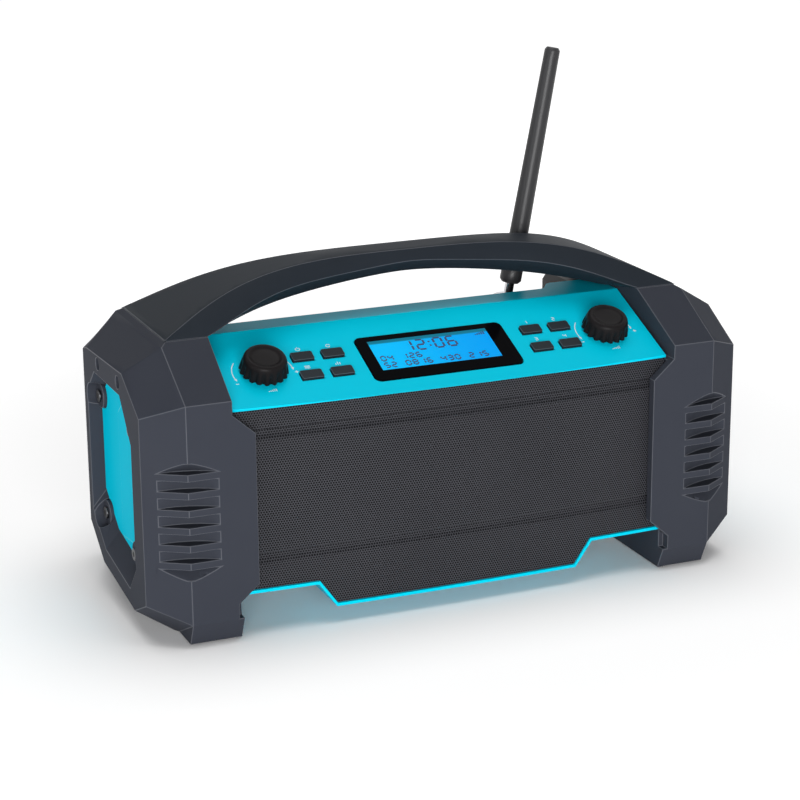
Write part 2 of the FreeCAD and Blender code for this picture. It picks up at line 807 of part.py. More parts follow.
panel_back_wall = split_y - wall
front_profile = [
    (lip_y, cell("belly_foot")),
    (split_y, cell("belly_foot")),
    (split_y, strip_z),
    (fold_y, strip_z),
    (lip_y, panel_z(lip_y)),
]
front_cavity_profile = [
    (front_wall_y + wall, cell("belly_foot")),
    (split_y + 1.0, cell("belly_foot")),
    (split_y + 1.0, strip_z - wall),
    (fold_y + 0.5, strip_z - wall),
    (front_wall_y + wall, panel_z(front_wall_y + wall) - wall * 1.1),
]
front_block = prism("front_block", "YZ_Plane", front_profile, -housing_half, housing_half)
front_shape = prism("front_outline", "XZ_Plane", belly_outline, -half_depth, half_depth)
lip_drum = bow_drum("lip_drum", cell("grille_thick") + seam + 0.6)
front_bowed = common("front_bowed", front_block, front_shape, lip_drum)
# the grille's bed: everything in front of the front wall, between lip and panel edge
lip = cell("lip_thick")
bed_outline = [
    (-housing_half - 1.0, end_foot + lip),
    (-(cell("belly_half") + cell("belly_step")) + lip * 0.3, end_foot + lip),
    (-cell("belly_half") + lip * 0.3, cell("belly_foot") + lip),
    (cell("belly_half") - lip * 0.3, cell("belly_foot") + lip),
    (cell("belly_half") + cell("belly_step") - lip * 0.3, end_foot + lip),
    (housing_half + 1.0, end_foot + lip),
    (housing_half + 1.0, panel_front_z - lip),
    (-housing_half - 1.0, panel_front_z - lip),
]
bed_prism = prism("grille_bed_prism", "XZ_Plane", bed_outline, -half_depth, front_wall_y + bow + 1.0)
bed_core = bow_drum("grille_bed_core", 0.0)
grille_bed = cut("grille_bed", bed_prism, bed_core)
cavity_block = prism(
    "front_cavity_block", "YZ_Plane", front_cavity_profile, -housing_half + wall, housing_half - wall
)
cavity_shape = prism("front_cavity_outline", "XZ_Plane", belly_inner, -half_depth, half_depth)
front_cavity = common("front_cavity", cavity_block, cavity_shape)

speaker_x = cell("speaker_x")
speaker_z = cell("speaker_z")
mouths = []
for name, side in (("left", -1.0), ("right", 1.0)):
    mouths.append(
        bar(name + "_mouth", cell("speaker_mouth"), 20.0, speaker_x * side, lip_y, speaker_z, "+Y")
    )

# Everything on the control panel is built flat and then laid on its slope
panel_x_axis = Vector(1, 0, 0)


def lay(thing):
    return place(thing, 0.0, panel_front_y, panel_front_z, panel_x_axis, slope)


def plate(name, middle_x, middle_up, wide, tall, low, high):
    outline = rectangle(
        middle_x - wide / 2, middle_x + wide / 2, middle_up - tall / 2, middle_up + tall / 2
    )
    return prism(name, "XY_Plane", outline, low, high)


def disc(name, radius, middle_x, middle_up, low, high):
    return prism(name, "XY_Plane", [], low, high, circles=[((middle_x, middle_up), radius)])


def soft_plate(name, middle_x, middle_up, wide, tall, low, high, radius):
    body = plate(name + "_flat", middle_x, middle_up, wide, tall, low, high)
    solid = rounded(name, body, radius, upright)
    return solid


def upright(edge):
    start = edge.Vertexes[0].Point
    end = edge.Vertexes[-1].Point
    flat = math.hypot(end.x - start.x, end.y - start.y)
    return abs(end.z - start.z) > 0.01 and flat < 0.001


key_places = []
for side_name, side in (("left", -1.0), ("right", 1.0)):
    for column, key_x in (("inner", cell("key_inner")), ("outer", cell("key_outer"))):
        for row, key_up in (("low", cell("key_low")), ("high", cell("key_high"))):
            key_places.append((side_name, side, column + "_" + row, key_x * side, key_up))

key_names = {
    "left_outer_high": "power_button",
    "left_inner_high": "mode_button",
    "left_outer_low": "menu_button",
    "left_inner_low": "tone_button",
    "right_inner_high": "preset_one_button",
    "right_outer_high": "preset_two_button",
    "right_inner_low": "preset_three_button",
    "right_outer_low": "preset_four_button",
}

panel_cuts = []
buttons = []
key_gap = cell("key_gap")
key_wide = cell("key_wide")
key_tall = cell("key_tall")
key_foot = wall + 0.4
for side_name, side, spot, key_x, key_up in key_places:
    node = key_names[side_name + "_" + spot]
    hole = plate(node + "_hole", key_x, key_up, key_wide + key_gap * 2, key_tall + key_gap * 2, -10.0, 5.0)
    panel_cuts.append(lay(hole))
    cap = soft_plate(node + "_cap", key_x, key_up, key_wide, key_tall, -key_foot, cell("key_rise"), 1.0)
    skirt_low = -key_foot - 1.0
    skirt = plate(node + "_skirt", key_x, key_up, key_wide + 1.6, key_tall + 1.6, skirt_low, -key_foot)
    button = fuse(node, cap, skirt)
    buttons.append(lay(button))

bezel_wide = cell("bezel_wide")
bezel_tall = cell("bezel_tall")
bezel_up = cell("bezel_at")
bezel_pocket = soft_plate(
    "bezel_pocket", as_size(0.0), bezel_up, bezel_wide + seam * 2, bezel_tall + seam * 2, -1.5, 5.0, 3.8
)
panel_cuts.append(lay(bezel_pocket))
window_hole_wide = cell("window_wide")
window_hole_tall = cell("window_tall")
window_x = cell("window_shift")
window_up = cell("window_at")
display_hole = plate("display_hole", window_x, window_up, window_hole_wide, window_hole_tall, -12.0, 5.0)
panel_cuts.append(lay(display_hole))
knob_x = cell("knob_x")
knob_up = cell("knob_at")
shaft_radius = cell("shaft_radius")
bush_radius = shaft_radius + 1.6
for name, side in (("left", -1.0), ("right", 1.0)):
    panel_cuts.append(lay(disc(name + "_bush_hole", bush_radius + seam, knob_x * side, knob_up, -12.0, 5.0)))

# the wide end of the top strip, with the bend that ends the antenna channel
strip_wing = prism(
    "strip_wing",
    "XY_Plane",
    [
        (cell("strip_wing_x") - 5.0, split_y - 4.0),
        (housing_half, split_y - 4.0),
        (housing_half, cell("strip_wing")),
        (cell("strip_wing_x") + 5.0, cell("strip_wing")),
        (cell("strip_wing_x") + 2.5, cell("strip_wing") - 1.2),
        (cell("strip_wing_x") - 2.5, split_y + 1.2),
        (cell("strip_wing_x") - 5.0, split_y),
    ],
    strip_z - wall,
    strip_z,
)
front_shell = cut("front_shell", front_bowed, grille_bed, front_cavity, *mouths, *panel_cuts)
front_housing = fuse("front_housing", front_shell, strip_wing)

# Rear housing
back_y = cell("housing_back")
channel_z = cell("channel_z")
rear_front = split_y
rear_profile = [
    (rear_front, cell("belly_foot")),
    (back_y - 8.0, cell("belly_foot")),
    (back_y, cell("belly_foot") + 20.0),
    (back_y, cell("back_top")),
    (cell("channel_back"), channel_z),
    (rear_front, channel_z),
]
rear_cavity_profile = [
    (rear_front - 1.0, cell("belly_foot")),
    (back_y - wall - 8.0, cell("belly_foot")),
    (back_y - wall, cell("belly_foot") + 20.0),
    (back_y - wall, cell("back_top") - 1.0),
    (cell("channel_back") - 1.0, channel_z - wall),
    (rear_front - 1.0, channel_z - wall),
]
rear_block = prism("rear_block", "YZ_Plane", rear_profile, -housing_half, housing_half)
rear_shape = prism("rear_outline", "XZ_Plane", belly_outline, -half_depth, half_depth)
rear_outer = common("rear_outer", rear_block, rear_shape)
rear_cavity_block = prism(
    "rear_cavity_block", "YZ_Plane", rear_cavity_profile, -housing_half + wall, housing_half - wall
)
rear_cavity_shape = prism("rear_cavity_outline", "XZ_Plane", belly_inner, -half_depth, half_depth)
rear_cavity = common("rear_cavity", rear_cavity_block, rear_cavity_shape)
# upright wall that closes the gap between channel floor and top strip
curtain = box(
    "channel_curtain",
    (-housing_half, rear_front, channel_z - 1.0),
    (housing_half, rear_front + 1.6, strip_z - wall - seam),
)
end_block = prism(
    "channel_end_block",
    "XZ_Plane",
    [
        (cell("block_x"), channel_z - 1.0),
        (housing_half, channel_z - 1.0),
        (housing_half, cell("block_z")),
        (cell("block_x") + 3.0, cell("block_z")),
        (cell("block_x"), cell("block_z") - 4.0),
    ],
    cell("strip_wing") + seam,
    cell("channel_back") - 4.0,
)
port_x = cell("port_x")
port_z = cell("port_z")
port_wide = cell("port_wide")
port_tall = cell("port_tall")
port_deep = cell("port_deep")
port_frame = box(
    "port_frame",
    (port_x - port_wide / 2 - 2.5, back_y - port_deep - 2.0, port_z - port_tall / 2 - 2.5),
    (port_x + port_wide / 2 + 2.5, back_y, port_z + port_tall / 2 + 2.5),
)
port_recess = box(
    "port_recess",
    (port_x - port_wide / 2, back_y - port_deep, port_z - port_tall / 2),
    (port_x + port_wide / 2, back_y + 5.0, port_z + port_tall / 2),
)
port_window = box(
    "port_window",
    (port_x - port_wide / 2 + 4.0, back_y - port_deep - 5.0, port_z - port_tall / 2 + 4.0),
    (port_x + port_wide / 2 - 4.0, back_y, port_z + port_tall / 2 - 4.0),
)
battery_x = cell("battery_x")
battery_z = cell("battery_z")
battery_wide = cell("battery_wide")
battery_tall = cell("battery_tall")
battery_hole = box(
    "battery_hole",
    (battery_x - battery_wide / 2 + 4.0, back_y - 10.0, battery_z - battery_tall / 2 + 4.0),
    (battery_x + battery_wide / 2 - 4.0, back_y + 5.0, battery_z + battery_tall / 2 - 4.0),
)
battery_rabbet = box(
    "battery_rabbet",
    (battery_x - battery_wide / 2, back_y - 1.2, battery_z - battery_tall / 2),
    (battery_x + battery_wide / 2, back_y + 5.0, battery_z + battery_tall / 2),
)
rear_shell = cut("rear_shell", rear_outer, rear_cavity)
rear_joined = fuse("rear_joined", rear_shell, curtain, end_block, port_frame)
antenna_x = cell("antenna_x")
antenna_y = cell("antenna_y")
turret_radius = cell("turret_radius")
stem_radius = as_size(3.0)
stem_hole = bar(
    "stem_hole", stem_radius + cell("shaft_fit"), 20.0, antenna_x, antenna_y, channel_z - 10.0
)
hinge_radius = cell("hinge_radius")
hinge_z = port_z - port_tall / 2 + hinge_radius + seam * 2
hinge_y = back_y - hinge_radius - 0.2
hinge_rod_radius = as_size(0.7)
rod_half = port_wide / 2 + 1.5
rod_seat = bar("rod_seat", hinge_rod_radius, rod_half * 2, port_x - rod_half, hinge_y, hinge_z, "+X")
rear_housing = cut(
    "rear_housing", rear_joined, port_recess, port_window, battery_hole, battery_rabbet, stem_hole, rod_seat
)

# Grille: a bowed skin with a middle field that stands out, in the bed of the front housing
grille_clear = seam
field_top = cell("field_top")
field_foot = cell("field_foot")
bevel = cell("field_bevel")


def grille_outline(top):
    step = cell("belly_half") + cell("belly_step") - lip * 0.3
    return [
        (-housing_half + seam, end_foot + lip + grille_clear),
        (-step, end_foot + lip + grille_clear),
        (-cell("belly_half") + lip * 0.3, cell("belly_foot") + lip + grille_clear),
        (cell("belly_half") - lip * 0.3, cell("belly_foot") + lip + grille_clear),
        (step, end_foot + lip + grille_clear),
        (housing_half - seam, end_foot + lip + grille_clear),
        (housing_half - seam, top),
        (-housing_half + seam, top),
    ]


grille_prism = prism(
    "grille_prism",
    "XZ_Plane",
    grille_outline(panel_front_z - lip - grille_clear),
    -half_depth,
    front_wall_y + bow + 2.0,
)
grille_outer = bow_drum("grille_outer", cell("grille_thick") + seam - cell("grille_relief"))
grille_core = bow_drum("grille_core", seam)
field_prism = prism(
    "field_prism",
    "XZ_Plane",
    rectangle(-(cell("waist") - 4.0), cell("waist") - 4.0, field_foot, field_top),
    -half_depth,
    front_wall_y + bow + 2.0,
)
field_outer = bow_drum("field_outer", cell("grille_thick") + seam)
grille_skin = common("grille_skin", grille_prism, grille_outer)
field_skin = common("field_skin", field_prism, field_outer)
grille_full = fuse("grille_full", grille_skin, field_skin)
speaker_grille = cut("speaker_grille", grille_full, grille_core)

# Display: bezel with a window, the window's pane, and the module behind it
bezel_flat = soft_plate(
    "bezel_flat", as_size(0.0), bezel_up, bezel_wide, bezel_tall, -1.5, cell("bezel_rise"), 3.5
)
bezel_window = plate("bezel_window", window_x, window_up, window_hole_wide, window_hole_tall, -5.0, 5.0)
display_bezel = lay(cut("display_bezel", bezel_flat, bezel_window))
lcd_window = lay(
    plate(
        "lcd_window",
        window_x,
        window_up,
        window_hole_wide - 0.2,
        window_hole_tall - 0.2,
        -1.5,
        cell("bezel_rise") - 0.2,
    )
)
lcd_module = lay(
    plate("lcd_module", window_x, window_up, window_hole_wide - 1.0, window_hole_tall - 1.0, -7.0, -1.5)
)

# Key mats under the buttons, carried by the main board
board_low = -wall - 7.6
board_high = -wall - 6.0
mat_high = -key_foot - 1.0 - cell("key_travel") - 0.3
mats = []
for name, side in (("left_key_mat", -1.0), ("right_key_mat", 1.0)):
    mat_x = (cell("key_inner") + cell("key_outer")) / 2 * side
    mat_up = (cell("key_low") + cell("key_high")) / 2
    mats.append(lay(plate(name, mat_x, mat_up, as_size(32.0), as_size(26.0), board_high, mat_high)))
main_board = lay(plate("main_board", as_size(0.0), as_size(25.0), as_size(206.0), as_size(34.0), board_low, board_high))

# Rotary encoders and knobs
# The encoder's bush comes up through the panel, the shaft slides in it and carries the knob.
bush_top = as_size(0.6)
encoder_nodes = []
shaft_nodes = []
knob_nodes = []
knob_height = cell("knob_height")
knob_gap = cell("knob_gap")
socket_depth = knob_height - 3.0
flute_count = int(size_values["knob_flutes"])
for name, side in (("volume", -1.0), ("tuning", 1.0)):
    at_x = knob_x * side
    case = plate(name + "_case", at_x, knob_up, as_size(13.0), as_size(13.0), board_high, -wall - 0.6)
    bush = bar(name + "_bush", bush_radius, wall + 0.6 + bush_top, at_x, knob_up, -wall - 0.6)
    bore = bar(
        name + "_bore",
        shaft_radius + cell("shaft_fit"),
        20.0,
        at_x,
        knob_up,
        board_high + 1.2,
    )
    case_and_bush = fuse(name + "_case_bush", case, bush)
    encoder_nodes.append(lay(cut(name + "_encoder", case_and_bush, bore)))
    shaft_foot = board_high + 1.2 + cell("knob_travel") + 0.3
    shaft_top = knob_gap + socket_depth - 0.3
    shaft_nodes.append(lay(disc(name + "_shaft", shaft_radius, at_x, knob_up, shaft_foot, shaft_top)))
    skirt = cone(
        name + "_skirt", cell("knob_radius"), cell("knob_crown"), knob_height, at_x, knob_up, knob_gap
    )
    hollow = bar(name + "_hollow", bush_radius + 1.0, 2.6, at_x, knob_up, knob_gap - 1.0)
    socket = bar(
        name + "_socket", shaft_radius + cell("shaft_fit"), socket_depth, at_x, knob_up, knob_gap
    )
    dish = cone(
        name + "_dish",
        cell("knob_dish") - 1.0,
        cell("knob_dish") + 0.2,
        1.2,
        at_x,
        knob_up,
        knob_gap + knob_height - 1.0,
    )
    flutes = []
    for index in range(flute_count):
        angle = math.radians(360.0 * index / flute_count)
        flute_x = at_x + (cell("knob_radius") + 0.7) * math.cos(angle)
        flute_up = knob_up + (cell("knob_radius") + 0.7) * math.sin(angle)
        flutes.append(
            cone(name + "_flute_" + str(index), 1.6, 0.5, knob_height * 0.72, flute_x, flute_up, knob_gap - 0.1)
        )
    knob_nodes.append(lay(cut(name + "_knob", skirt, hollow, socket, dish, *flutes)))

# Loudspeakers behind the front wall: basket with magnet, and cone
speaker_nodes = []
flange_y = front_wall_y + wall
for name, side in (("left", -1.0), ("right", 1.0)):
    at_x = speaker_x * side
    depth = cell("speaker_depth")
    flange = bar(name + "_flange", cell("speaker_radius"), 2.0, at_x, flange_y, speaker_z, "+Y")
    basket = cone(
        name + "_basket_body",
        cell("speaker_radius") - 3.0,
        cell("speaker_radius") * 0.5,
        depth * 0.55,
        at_x,
        flange_y + 1.9,
        speaker_z,
        "+Y",
    )
    magnet = bar(
        name + "_magnet", cell("speaker_radius") * 0.62, depth * 0.4, at_x, flange_y + depth * 0.6, speaker_z, "+Y"
    )
    bowl = cone(
        name + "_bowl",
        cell("speaker_radius") - 5.0,
        cell("speaker_radius") * 0.4,
        depth * 0.5,
        at_x,
        flange_y - 0.1,
        speaker_z,
        "+Y",
    )
    metal = fuse(name + "_metal", flange, basket, magnet)
    speaker_nodes.append(cut(name + "_speaker", metal, bowl))
    paper_outer = cone(
        name + "_paper_outer",
        cell("speaker_radius") - 5.4,
        cell("speaker_radius") * 0.4 - 0.4,
        depth * 0.5 - 0.2,
        at_x,
        flange_y + 0.1,
        speaker_z,
        "+Y",
    )
    paper_inner = cone(
        name + "_paper_inner",
        cell("speaker_radius") - 6.6,
        cell("speaker_radius") * 0.3,
        depth * 0.5 - 1.6,
        at_x,
        flange_y,
        speaker_z,
        "+Y",
    )
    speaker_nodes.append(cut(name + "_speaker_cone", paper_outer, paper_inner))

# Antenna: turret with a fork on the channel floor, pin, and the mast with collar and neck
pin_z = cell("pin_z")
fork_gap = cell("fork_gap")
pin_radius = cell("pin_radius")
stem = bar("turret_stem", stem_radius, 8.0, antenna_x, antenna_y, channel_z - 7.7)
drum = bar("turret_drum", turret_radius, pin_z - channel_z + 3.2, antenna_x, antenna_y, channel_z + seam)
fork_slot = box(
    "fork_slot",
    (antenna_x - 20.0, antenna_y - fork_gap / 2, pin_z - 4.2),
    (antenna_x + 20.0, antenna_y + fork_gap / 2, pin_z + 20.0),
)
pin_bore = bar("pin_bore", pin_radius, 40.0, antenna_x, antenna_y - 20.0, pin_z, "+Y")
turret_full = fuse("turret_full", stem, drum)
antenna_turret = cut("antenna_turret", turret_full, fork_slot, pin_bore)
antenna_pin = bar(
    "antenna_pin", pin_radius, turret_radius * 2 - 1.6, antenna_x, antenna_y - turret_radius + 0.8, pin_z, "+Y"
)
# built upright on the pin, then leaned
collar_from = cell("collar_from")
knuckle = bar("knuckle", 3.4, fork_gap - 0.6, 0.0, -fork_gap / 2 + 0.3, 0.0, "+Y")
neck = bar("neck", cell("neck_radius"), collar_from + 1.0, 0.0, 0.0, 0.0)
knuckle_bore = bar("knuckle_bore", pin_radius + cell("shaft_fit"), 20.0, 0.0, -10.0, 0.0, "+Y")
hinge_full = fuse("hinge_full", knuckle, neck)
antenna_hinge = cut("antenna_hinge", hinge_full, knuckle_bore)
collar_foot = cone(
    "collar_foot", cell("collar_radius") - 1.4, cell("collar_radius"), 1.6, 0.0, 0.0, collar_from
)
collar = bar("collar", cell("collar_radius"), cell("collar_length") - 1.6, 0.0, 0.0, collar_from + 1.6)
mast_from = collar_from + cell("collar_length")
shaft_part = cone(
    "mast_taper",
    cell("mast_foot_radius"),
    cell("mast_tip_radius"),
    cell("antenna_length") - mast_from - 1.5,
    0.0,
    0.0,
    mast_from,
)
mast_tip = cone(
    "mast_tip",
    cell("mast_tip_radius"),
    cell("mast_tip_radius") - 1.0,
    1.5,
    0.0,
    0.0,
    cell("antenna_length") - 1.5,
)
neck_socket = bar("neck_socket", cell("neck_radius"), 1.0, 0.0, 0.0, collar_from)
mast_full = fuse("mast_full", collar_foot, collar, shaft_part, mast_tip)
antenna_mast = cut("antenna_mast", mast_full, neck_socket)
for thing in (antenna_hinge, antenna_mast):
    place(thing, antenna_x, antenna_y, pin_z, Vector(0, 1, 0), cell("antenna_lean"))

# Back: port panel in its recess, cover with a hinge at its lower edge, battery and cover
panel_low_y = back_y - port_deep - 14.0
port_plate = box(
    "port_plate",
    (port_x - port_wide / 2 + 4.4, panel_low_y, port_z - port_tall / 2 + 4.4),
    (port_x + port_wide / 2 - 4.4, back_y - port_deep - 0.6, port_z + port_tall / 2 - 4.4),
)
power_jack = bar("power_jack", 2.75, 20.0, port_x - 14.0, panel_low_y + 1.0, port_z, "+Y")
power_prong = bar("power_prong", 1.0, 3.0, port_x - 14.0, panel_low_y, port_z, "+Y")
sound_jack = bar("sound_jack", 1.8, 20.0, port_x, panel_low_y + 1.0, port_z, "+Y")
data_slot = box(
    "data_slot",
    (port_x + 9.0, panel_low_y + 1.0, port_z - 1.7),
    (port_x + 18.0, back_y, port_z + 1.7),
)
port_cut = cut("port_cut", port_plate, power_jack, sound_jack, data_slot)
port_panel = fuse("port_panel", port_cut, power_prong)

cover_thick = cell("cover_thick")
barrel = bar(
    "cover_barrel", hinge_radius, port_wide - 8.0, port_x - port_wide / 2 + 4.0, hinge_y, hinge_z, "+X"
)
cover_plate = box(
    "cover_plate",
    (port_x - port_wide / 2 + seam, back_y - cover_thick, hinge_z),
    (port_x + port_wide / 2 - seam, back_y, port_z + port_tall / 2 - seam),
)
cover_side = box(
    "cover_corner_left",
    (port_x - port_wide / 2, back_y - 10.0, port_z - port_tall / 2),
    (port_x - port_wide / 2 + 4.0, back_y + 5.0, hinge_z + hinge_radius + seam),
)
cover_side_b = box(
    "cover_corner_right",
    (port_x + port_wide / 2 - 4.0, back_y - 10.0, port_z - port_tall / 2),
    (port_x + port_wide / 2, back_y + 5.0, hinge_z + hinge_radius + seam),
)
pull_tab = box(
    "cover_tab",
    (port_x - 6.0, back_y - 0.1, port_z + port_tall / 2 - 4.0),
    (port_x + 6.0, back_y + 1.2, port_z + port_tall / 2 - 2.0),
)
hinge_rod = bar(
    "port_hinge_rod", hinge_rod_radius, rod_half * 2, port_x - rod_half, hinge_y, hinge_z, "+X"
)
rod_bore_radius = hinge_rod_radius + cell("shaft_fit")
rod_bore = bar("rod_bore", rod_bore_radius, rod_half * 2, port_x - rod_half, hinge_y, hinge_z, "+X")
cover_full = fuse("cover_full", barrel, cover_plate, pull_tab)
port_cover = cut("port_cover", cover_full, cover_side, cover_side_b, rod_bore)

battery_cover_plate = box(
    "battery_cover_plate",
    (battery_x - battery_wide / 2 + seam, back_y - 1.2, battery_z - battery_tall / 2 + seam),
    (battery_x + battery_wide / 2 - seam, back_y + 1.0, battery_z + battery_tall / 2 - seam),
)
battery_ribs = []
for index in range(4):
    rib_x = battery_x + (index - 1.5) * 14.0
    battery_ribs.append(
        box(
            "battery_rib_" + str(index),
            (rib_x - 2.0, back_y + 0.5, battery_z - 14.0),
            (rib_x + 2.0, back_y + 1.9, battery_z + 14.0),
        )
    )
battery_cover = fuse("battery_cover", battery_cover_plate, *battery_ribs)
battery_pack = box(
    "battery_pack",
    (battery_x - battery_wide / 2 + 8.0, back_y - 1.2 - cell("battery_deep"), battery_z - battery_tall / 2 + 7.0),
    (battery_x + battery_wide / 2 - 8.0, back_y - 1.2, battery_z + battery_tall / 2 - 7.0),
)
back_screws = []
for index, (share_x, share_z) in enumerate(((-1.0, -1.0), (1.0, -1.0), (1.0, 1.0), (-1.0, 1.0))):
    screw_x = battery_x + (battery_wide / 2 - 6.0) * share_x
    screw_z = battery_z + (battery_tall / 2 - 6.0) * share_z
    back_screws.append(bar("back_screw_" + str(index), 2.6, 1.2, screw_x, back_y + 1.0, screw_z, "+Y"))
battery_screws = group("battery_cover_screws", *back_screws)

nodes = [
    carry_handle,
    left_frame,
    right_frame,
    left_panel,
    right_panel,
    side_screw_set,
    frame_screw_set,
    pad_set,
    front_housing,
    rear_housing,
    speaker_grille,
    display_bezel,
    lcd_window,
    lcd_module,
    main_board,
    antenna_turret,
    antenna_pin,
    antenna_hinge,
    antenna_mast,
    port_panel,
    port_cover,
    hinge_rod,
    battery_cover,
    battery_pack,
    battery_screws,
]
nodes += mats + encoder_nodes + shaft_nodes + knob_nodes + speaker_nodes + buttons

doc.recompute()

failed = []
for thing in doc.Objects:
    if "Invalid" in thing.State or "Error" in thing.State:
        failed.append(thing.Label + " " + ",".join(thing.State))
for node in nodes:
    if node.Shape.isNull() or not node.Shape.isValid():
        failed.append(node.Label + " has no valid shape")
if failed:
    raise RuntimeError("not built: " + "; ".join(failed))

os.makedirs("parts", exist_ok=True)
for node in nodes:
    node.Shape.exportStep("parts/" + node.Label + ".step")
    bounds = node.Shape.BoundBox
    print(node.Label, len(node.Shape.Solids), "solids, volume", round(node.Shape.Volume, 1))
    print("  from", round(bounds.XMin, 2), round(bounds.YMin, 2), round(bounds.ZMin, 2))
    print("  to", round(bounds.XMax, 2), round(bounds.YMax, 2), round(bounds.ZMax, 2))
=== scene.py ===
import math

import bmesh
import bpy
from mathutils import Matrix, Vector


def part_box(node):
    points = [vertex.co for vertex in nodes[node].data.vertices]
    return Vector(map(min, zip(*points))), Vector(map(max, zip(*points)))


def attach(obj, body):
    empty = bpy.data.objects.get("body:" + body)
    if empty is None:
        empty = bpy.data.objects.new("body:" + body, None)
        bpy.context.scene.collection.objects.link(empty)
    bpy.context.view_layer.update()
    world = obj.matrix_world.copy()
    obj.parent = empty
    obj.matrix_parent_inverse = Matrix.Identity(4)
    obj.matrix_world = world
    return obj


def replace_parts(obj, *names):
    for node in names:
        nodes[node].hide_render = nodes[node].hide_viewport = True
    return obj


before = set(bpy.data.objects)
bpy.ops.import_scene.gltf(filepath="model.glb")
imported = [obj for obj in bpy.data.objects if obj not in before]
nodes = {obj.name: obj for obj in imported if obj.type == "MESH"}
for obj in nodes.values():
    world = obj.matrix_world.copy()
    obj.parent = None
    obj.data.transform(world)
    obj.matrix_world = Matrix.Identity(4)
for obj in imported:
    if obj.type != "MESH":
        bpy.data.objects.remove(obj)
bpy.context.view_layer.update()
mmPerMetre = 1000.0
print("frame loaded:", len(nodes), "nodes")

# Camera at the photograph's viewing angle
cameraView = {
    "place": (-0.44793, -1.0585, 0.43823),
    "right": (0.92076, -0.39007, -0.00664),
    "up": (0.11895, 0.26448, 0.95703),
    "forward": (0.37155, 0.88198, -0.28992),
    "lens": 100.96,
    "sensor": 36.0,
    "clip": 50.0,
}


def makeCamera(view):
    data = bpy.data.cameras.new("studioCamera")
    data.lens = view["lens"]
    data.sensor_width = view["sensor"]
    data.clip_end = view["clip"]
    camera = bpy.data.objects.new("studioCamera", data)
    bpy.context.scene.collection.objects.link(camera)
    right, up = Vector(view["right"]), Vector(view["up"])
    back = -Vector(view["forward"])
    turn = Matrix((right, up, back)).transposed()
    camera.matrix_world = Matrix.Translation(view["place"]) @ turn.to_4x4()
    bpy.context.scene.camera = camera


makeCamera(cameraView)

# Helpers for shader trees


def newGroup(name, inputs, outputs):
    group = bpy.data.node_groups.new(name, "ShaderNodeTree")
    for label, kind, value in inputs:
        socket = group.interface.new_socket(label, in_out="INPUT", socket_type=kind)
        socket.default_value = value
    for label, kind in outputs:
        group.interface.new_socket(label, in_out="OUTPUT", socket_type=kind)
    return group, group.nodes.new("NodeGroupInput"), group.nodes.new("NodeGroupOutput")


def addNode(tree, kind, **settings):
    node = tree.nodes.new(kind)
    for key, value in settings.items():
        setattr(node, key, value)
    return node


# Puts a number or a colour on a socket, or links another node's output to it
def fillSocket(tree, socket, value):
    if isinstance(value, (float, tuple)):
        socket.default_value = value
    else:
        tree.links.new(value, socket)


def mathNode(tree, operation, first, second=None):
    node = addNode(tree, "ShaderNodeMath", operation=operation)
    fillSocket(tree, node.inputs[0], first)
    if second is not None:
        fillSocket(tree, node.inputs[1], second)
    return node.outputs[0]


def lengthNode(tree, vector):
    node = addNode(tree, "ShaderNodeVectorMath", operation="LENGTH")
    tree.links.new(vector, node.inputs[0])
    return node.outputs["Value"]


def mixColours(tree, factor, first, second):
    mix = addNode(tree, "ShaderNodeMix", data_type="RGBA")
    fillSocket(tree, mix.inputs["Factor"], factor)
    fillSocket(tree, mix.inputs["A"], first)
    fillSocket(tree, mix.inputs["B"], second)
    return mix.outputs["Result"]


# Shader groups that several finishes share
grainNoise = {"driftScale": 22.0, "driftDetail": 4.0, "grainDetail": 2.0}


# Moulded surface: fine grain, and a slow drift of the colour and the roughness
def mouldedGrainGroup():
    group, given, made = newGroup(
        "mouldedGrain",
        [
            ("Colour", "NodeSocketColor", (0.1, 0.1, 0.1, 1.0)),
            ("Drift Colour", "NodeSocketColor", (0.12, 0.12, 0.12, 1.0)),
            ("Grain Scale", "NodeSocketFloat", 1500.0),
            ("Roughness", "NodeSocketFloat", 0.5),
            ("Roughness Drift", "NodeSocketFloat", 0.08),
        ],
        [
            ("Colour", "NodeSocketColor"),
            ("Roughness", "NodeSocketFloat"),
            ("Height", "NodeSocketFloat"),
        ],
    )
    links = group.links
    place = addNode(group, "ShaderNodeTexCoord")
    drift = addNode(group, "ShaderNodeTexNoise")
    drift.inputs["Scale"].default_value = grainNoise["driftScale"]
    drift.inputs["Detail"].default_value = grainNoise["driftDetail"]
    links.new(place.outputs["Object"], drift.inputs["Vector"])
    grain = addNode(group, "ShaderNodeTexNoise")
    grain.inputs["Detail"].default_value = grainNoise["grainDetail"]
    links.new(place.outputs["Object"], grain.inputs["Vector"])
    links.new(given.outputs["Grain Scale"], grain.inputs["Scale"])
    links.new(
        mixColours(group, drift.outputs["Fac"], given.outputs["Colour"], given.outputs["Drift Colour"]),
        made.inputs["Colour"],
    )
    centred = mathNode(group, "SUBTRACT", drift.outputs["Fac"], 0.5)
    swing = mathNode(group, "MULTIPLY", centred, given.outputs["Roughness Drift"])
    links.new(mathNode(group, "ADD", swing, given.outputs["Roughness"]), made.inputs["Roughness"])
    links.new(grain.outputs["Fac"], made.inputs["Height"])
    return group


# Round holes in a hexagonal pattern, seen from the front of the grille
# The cells ahead keep every place positive, and the softness is a share of the pitch
holePattern = {"cellsAhead": 100.0, "softness": 0.05}


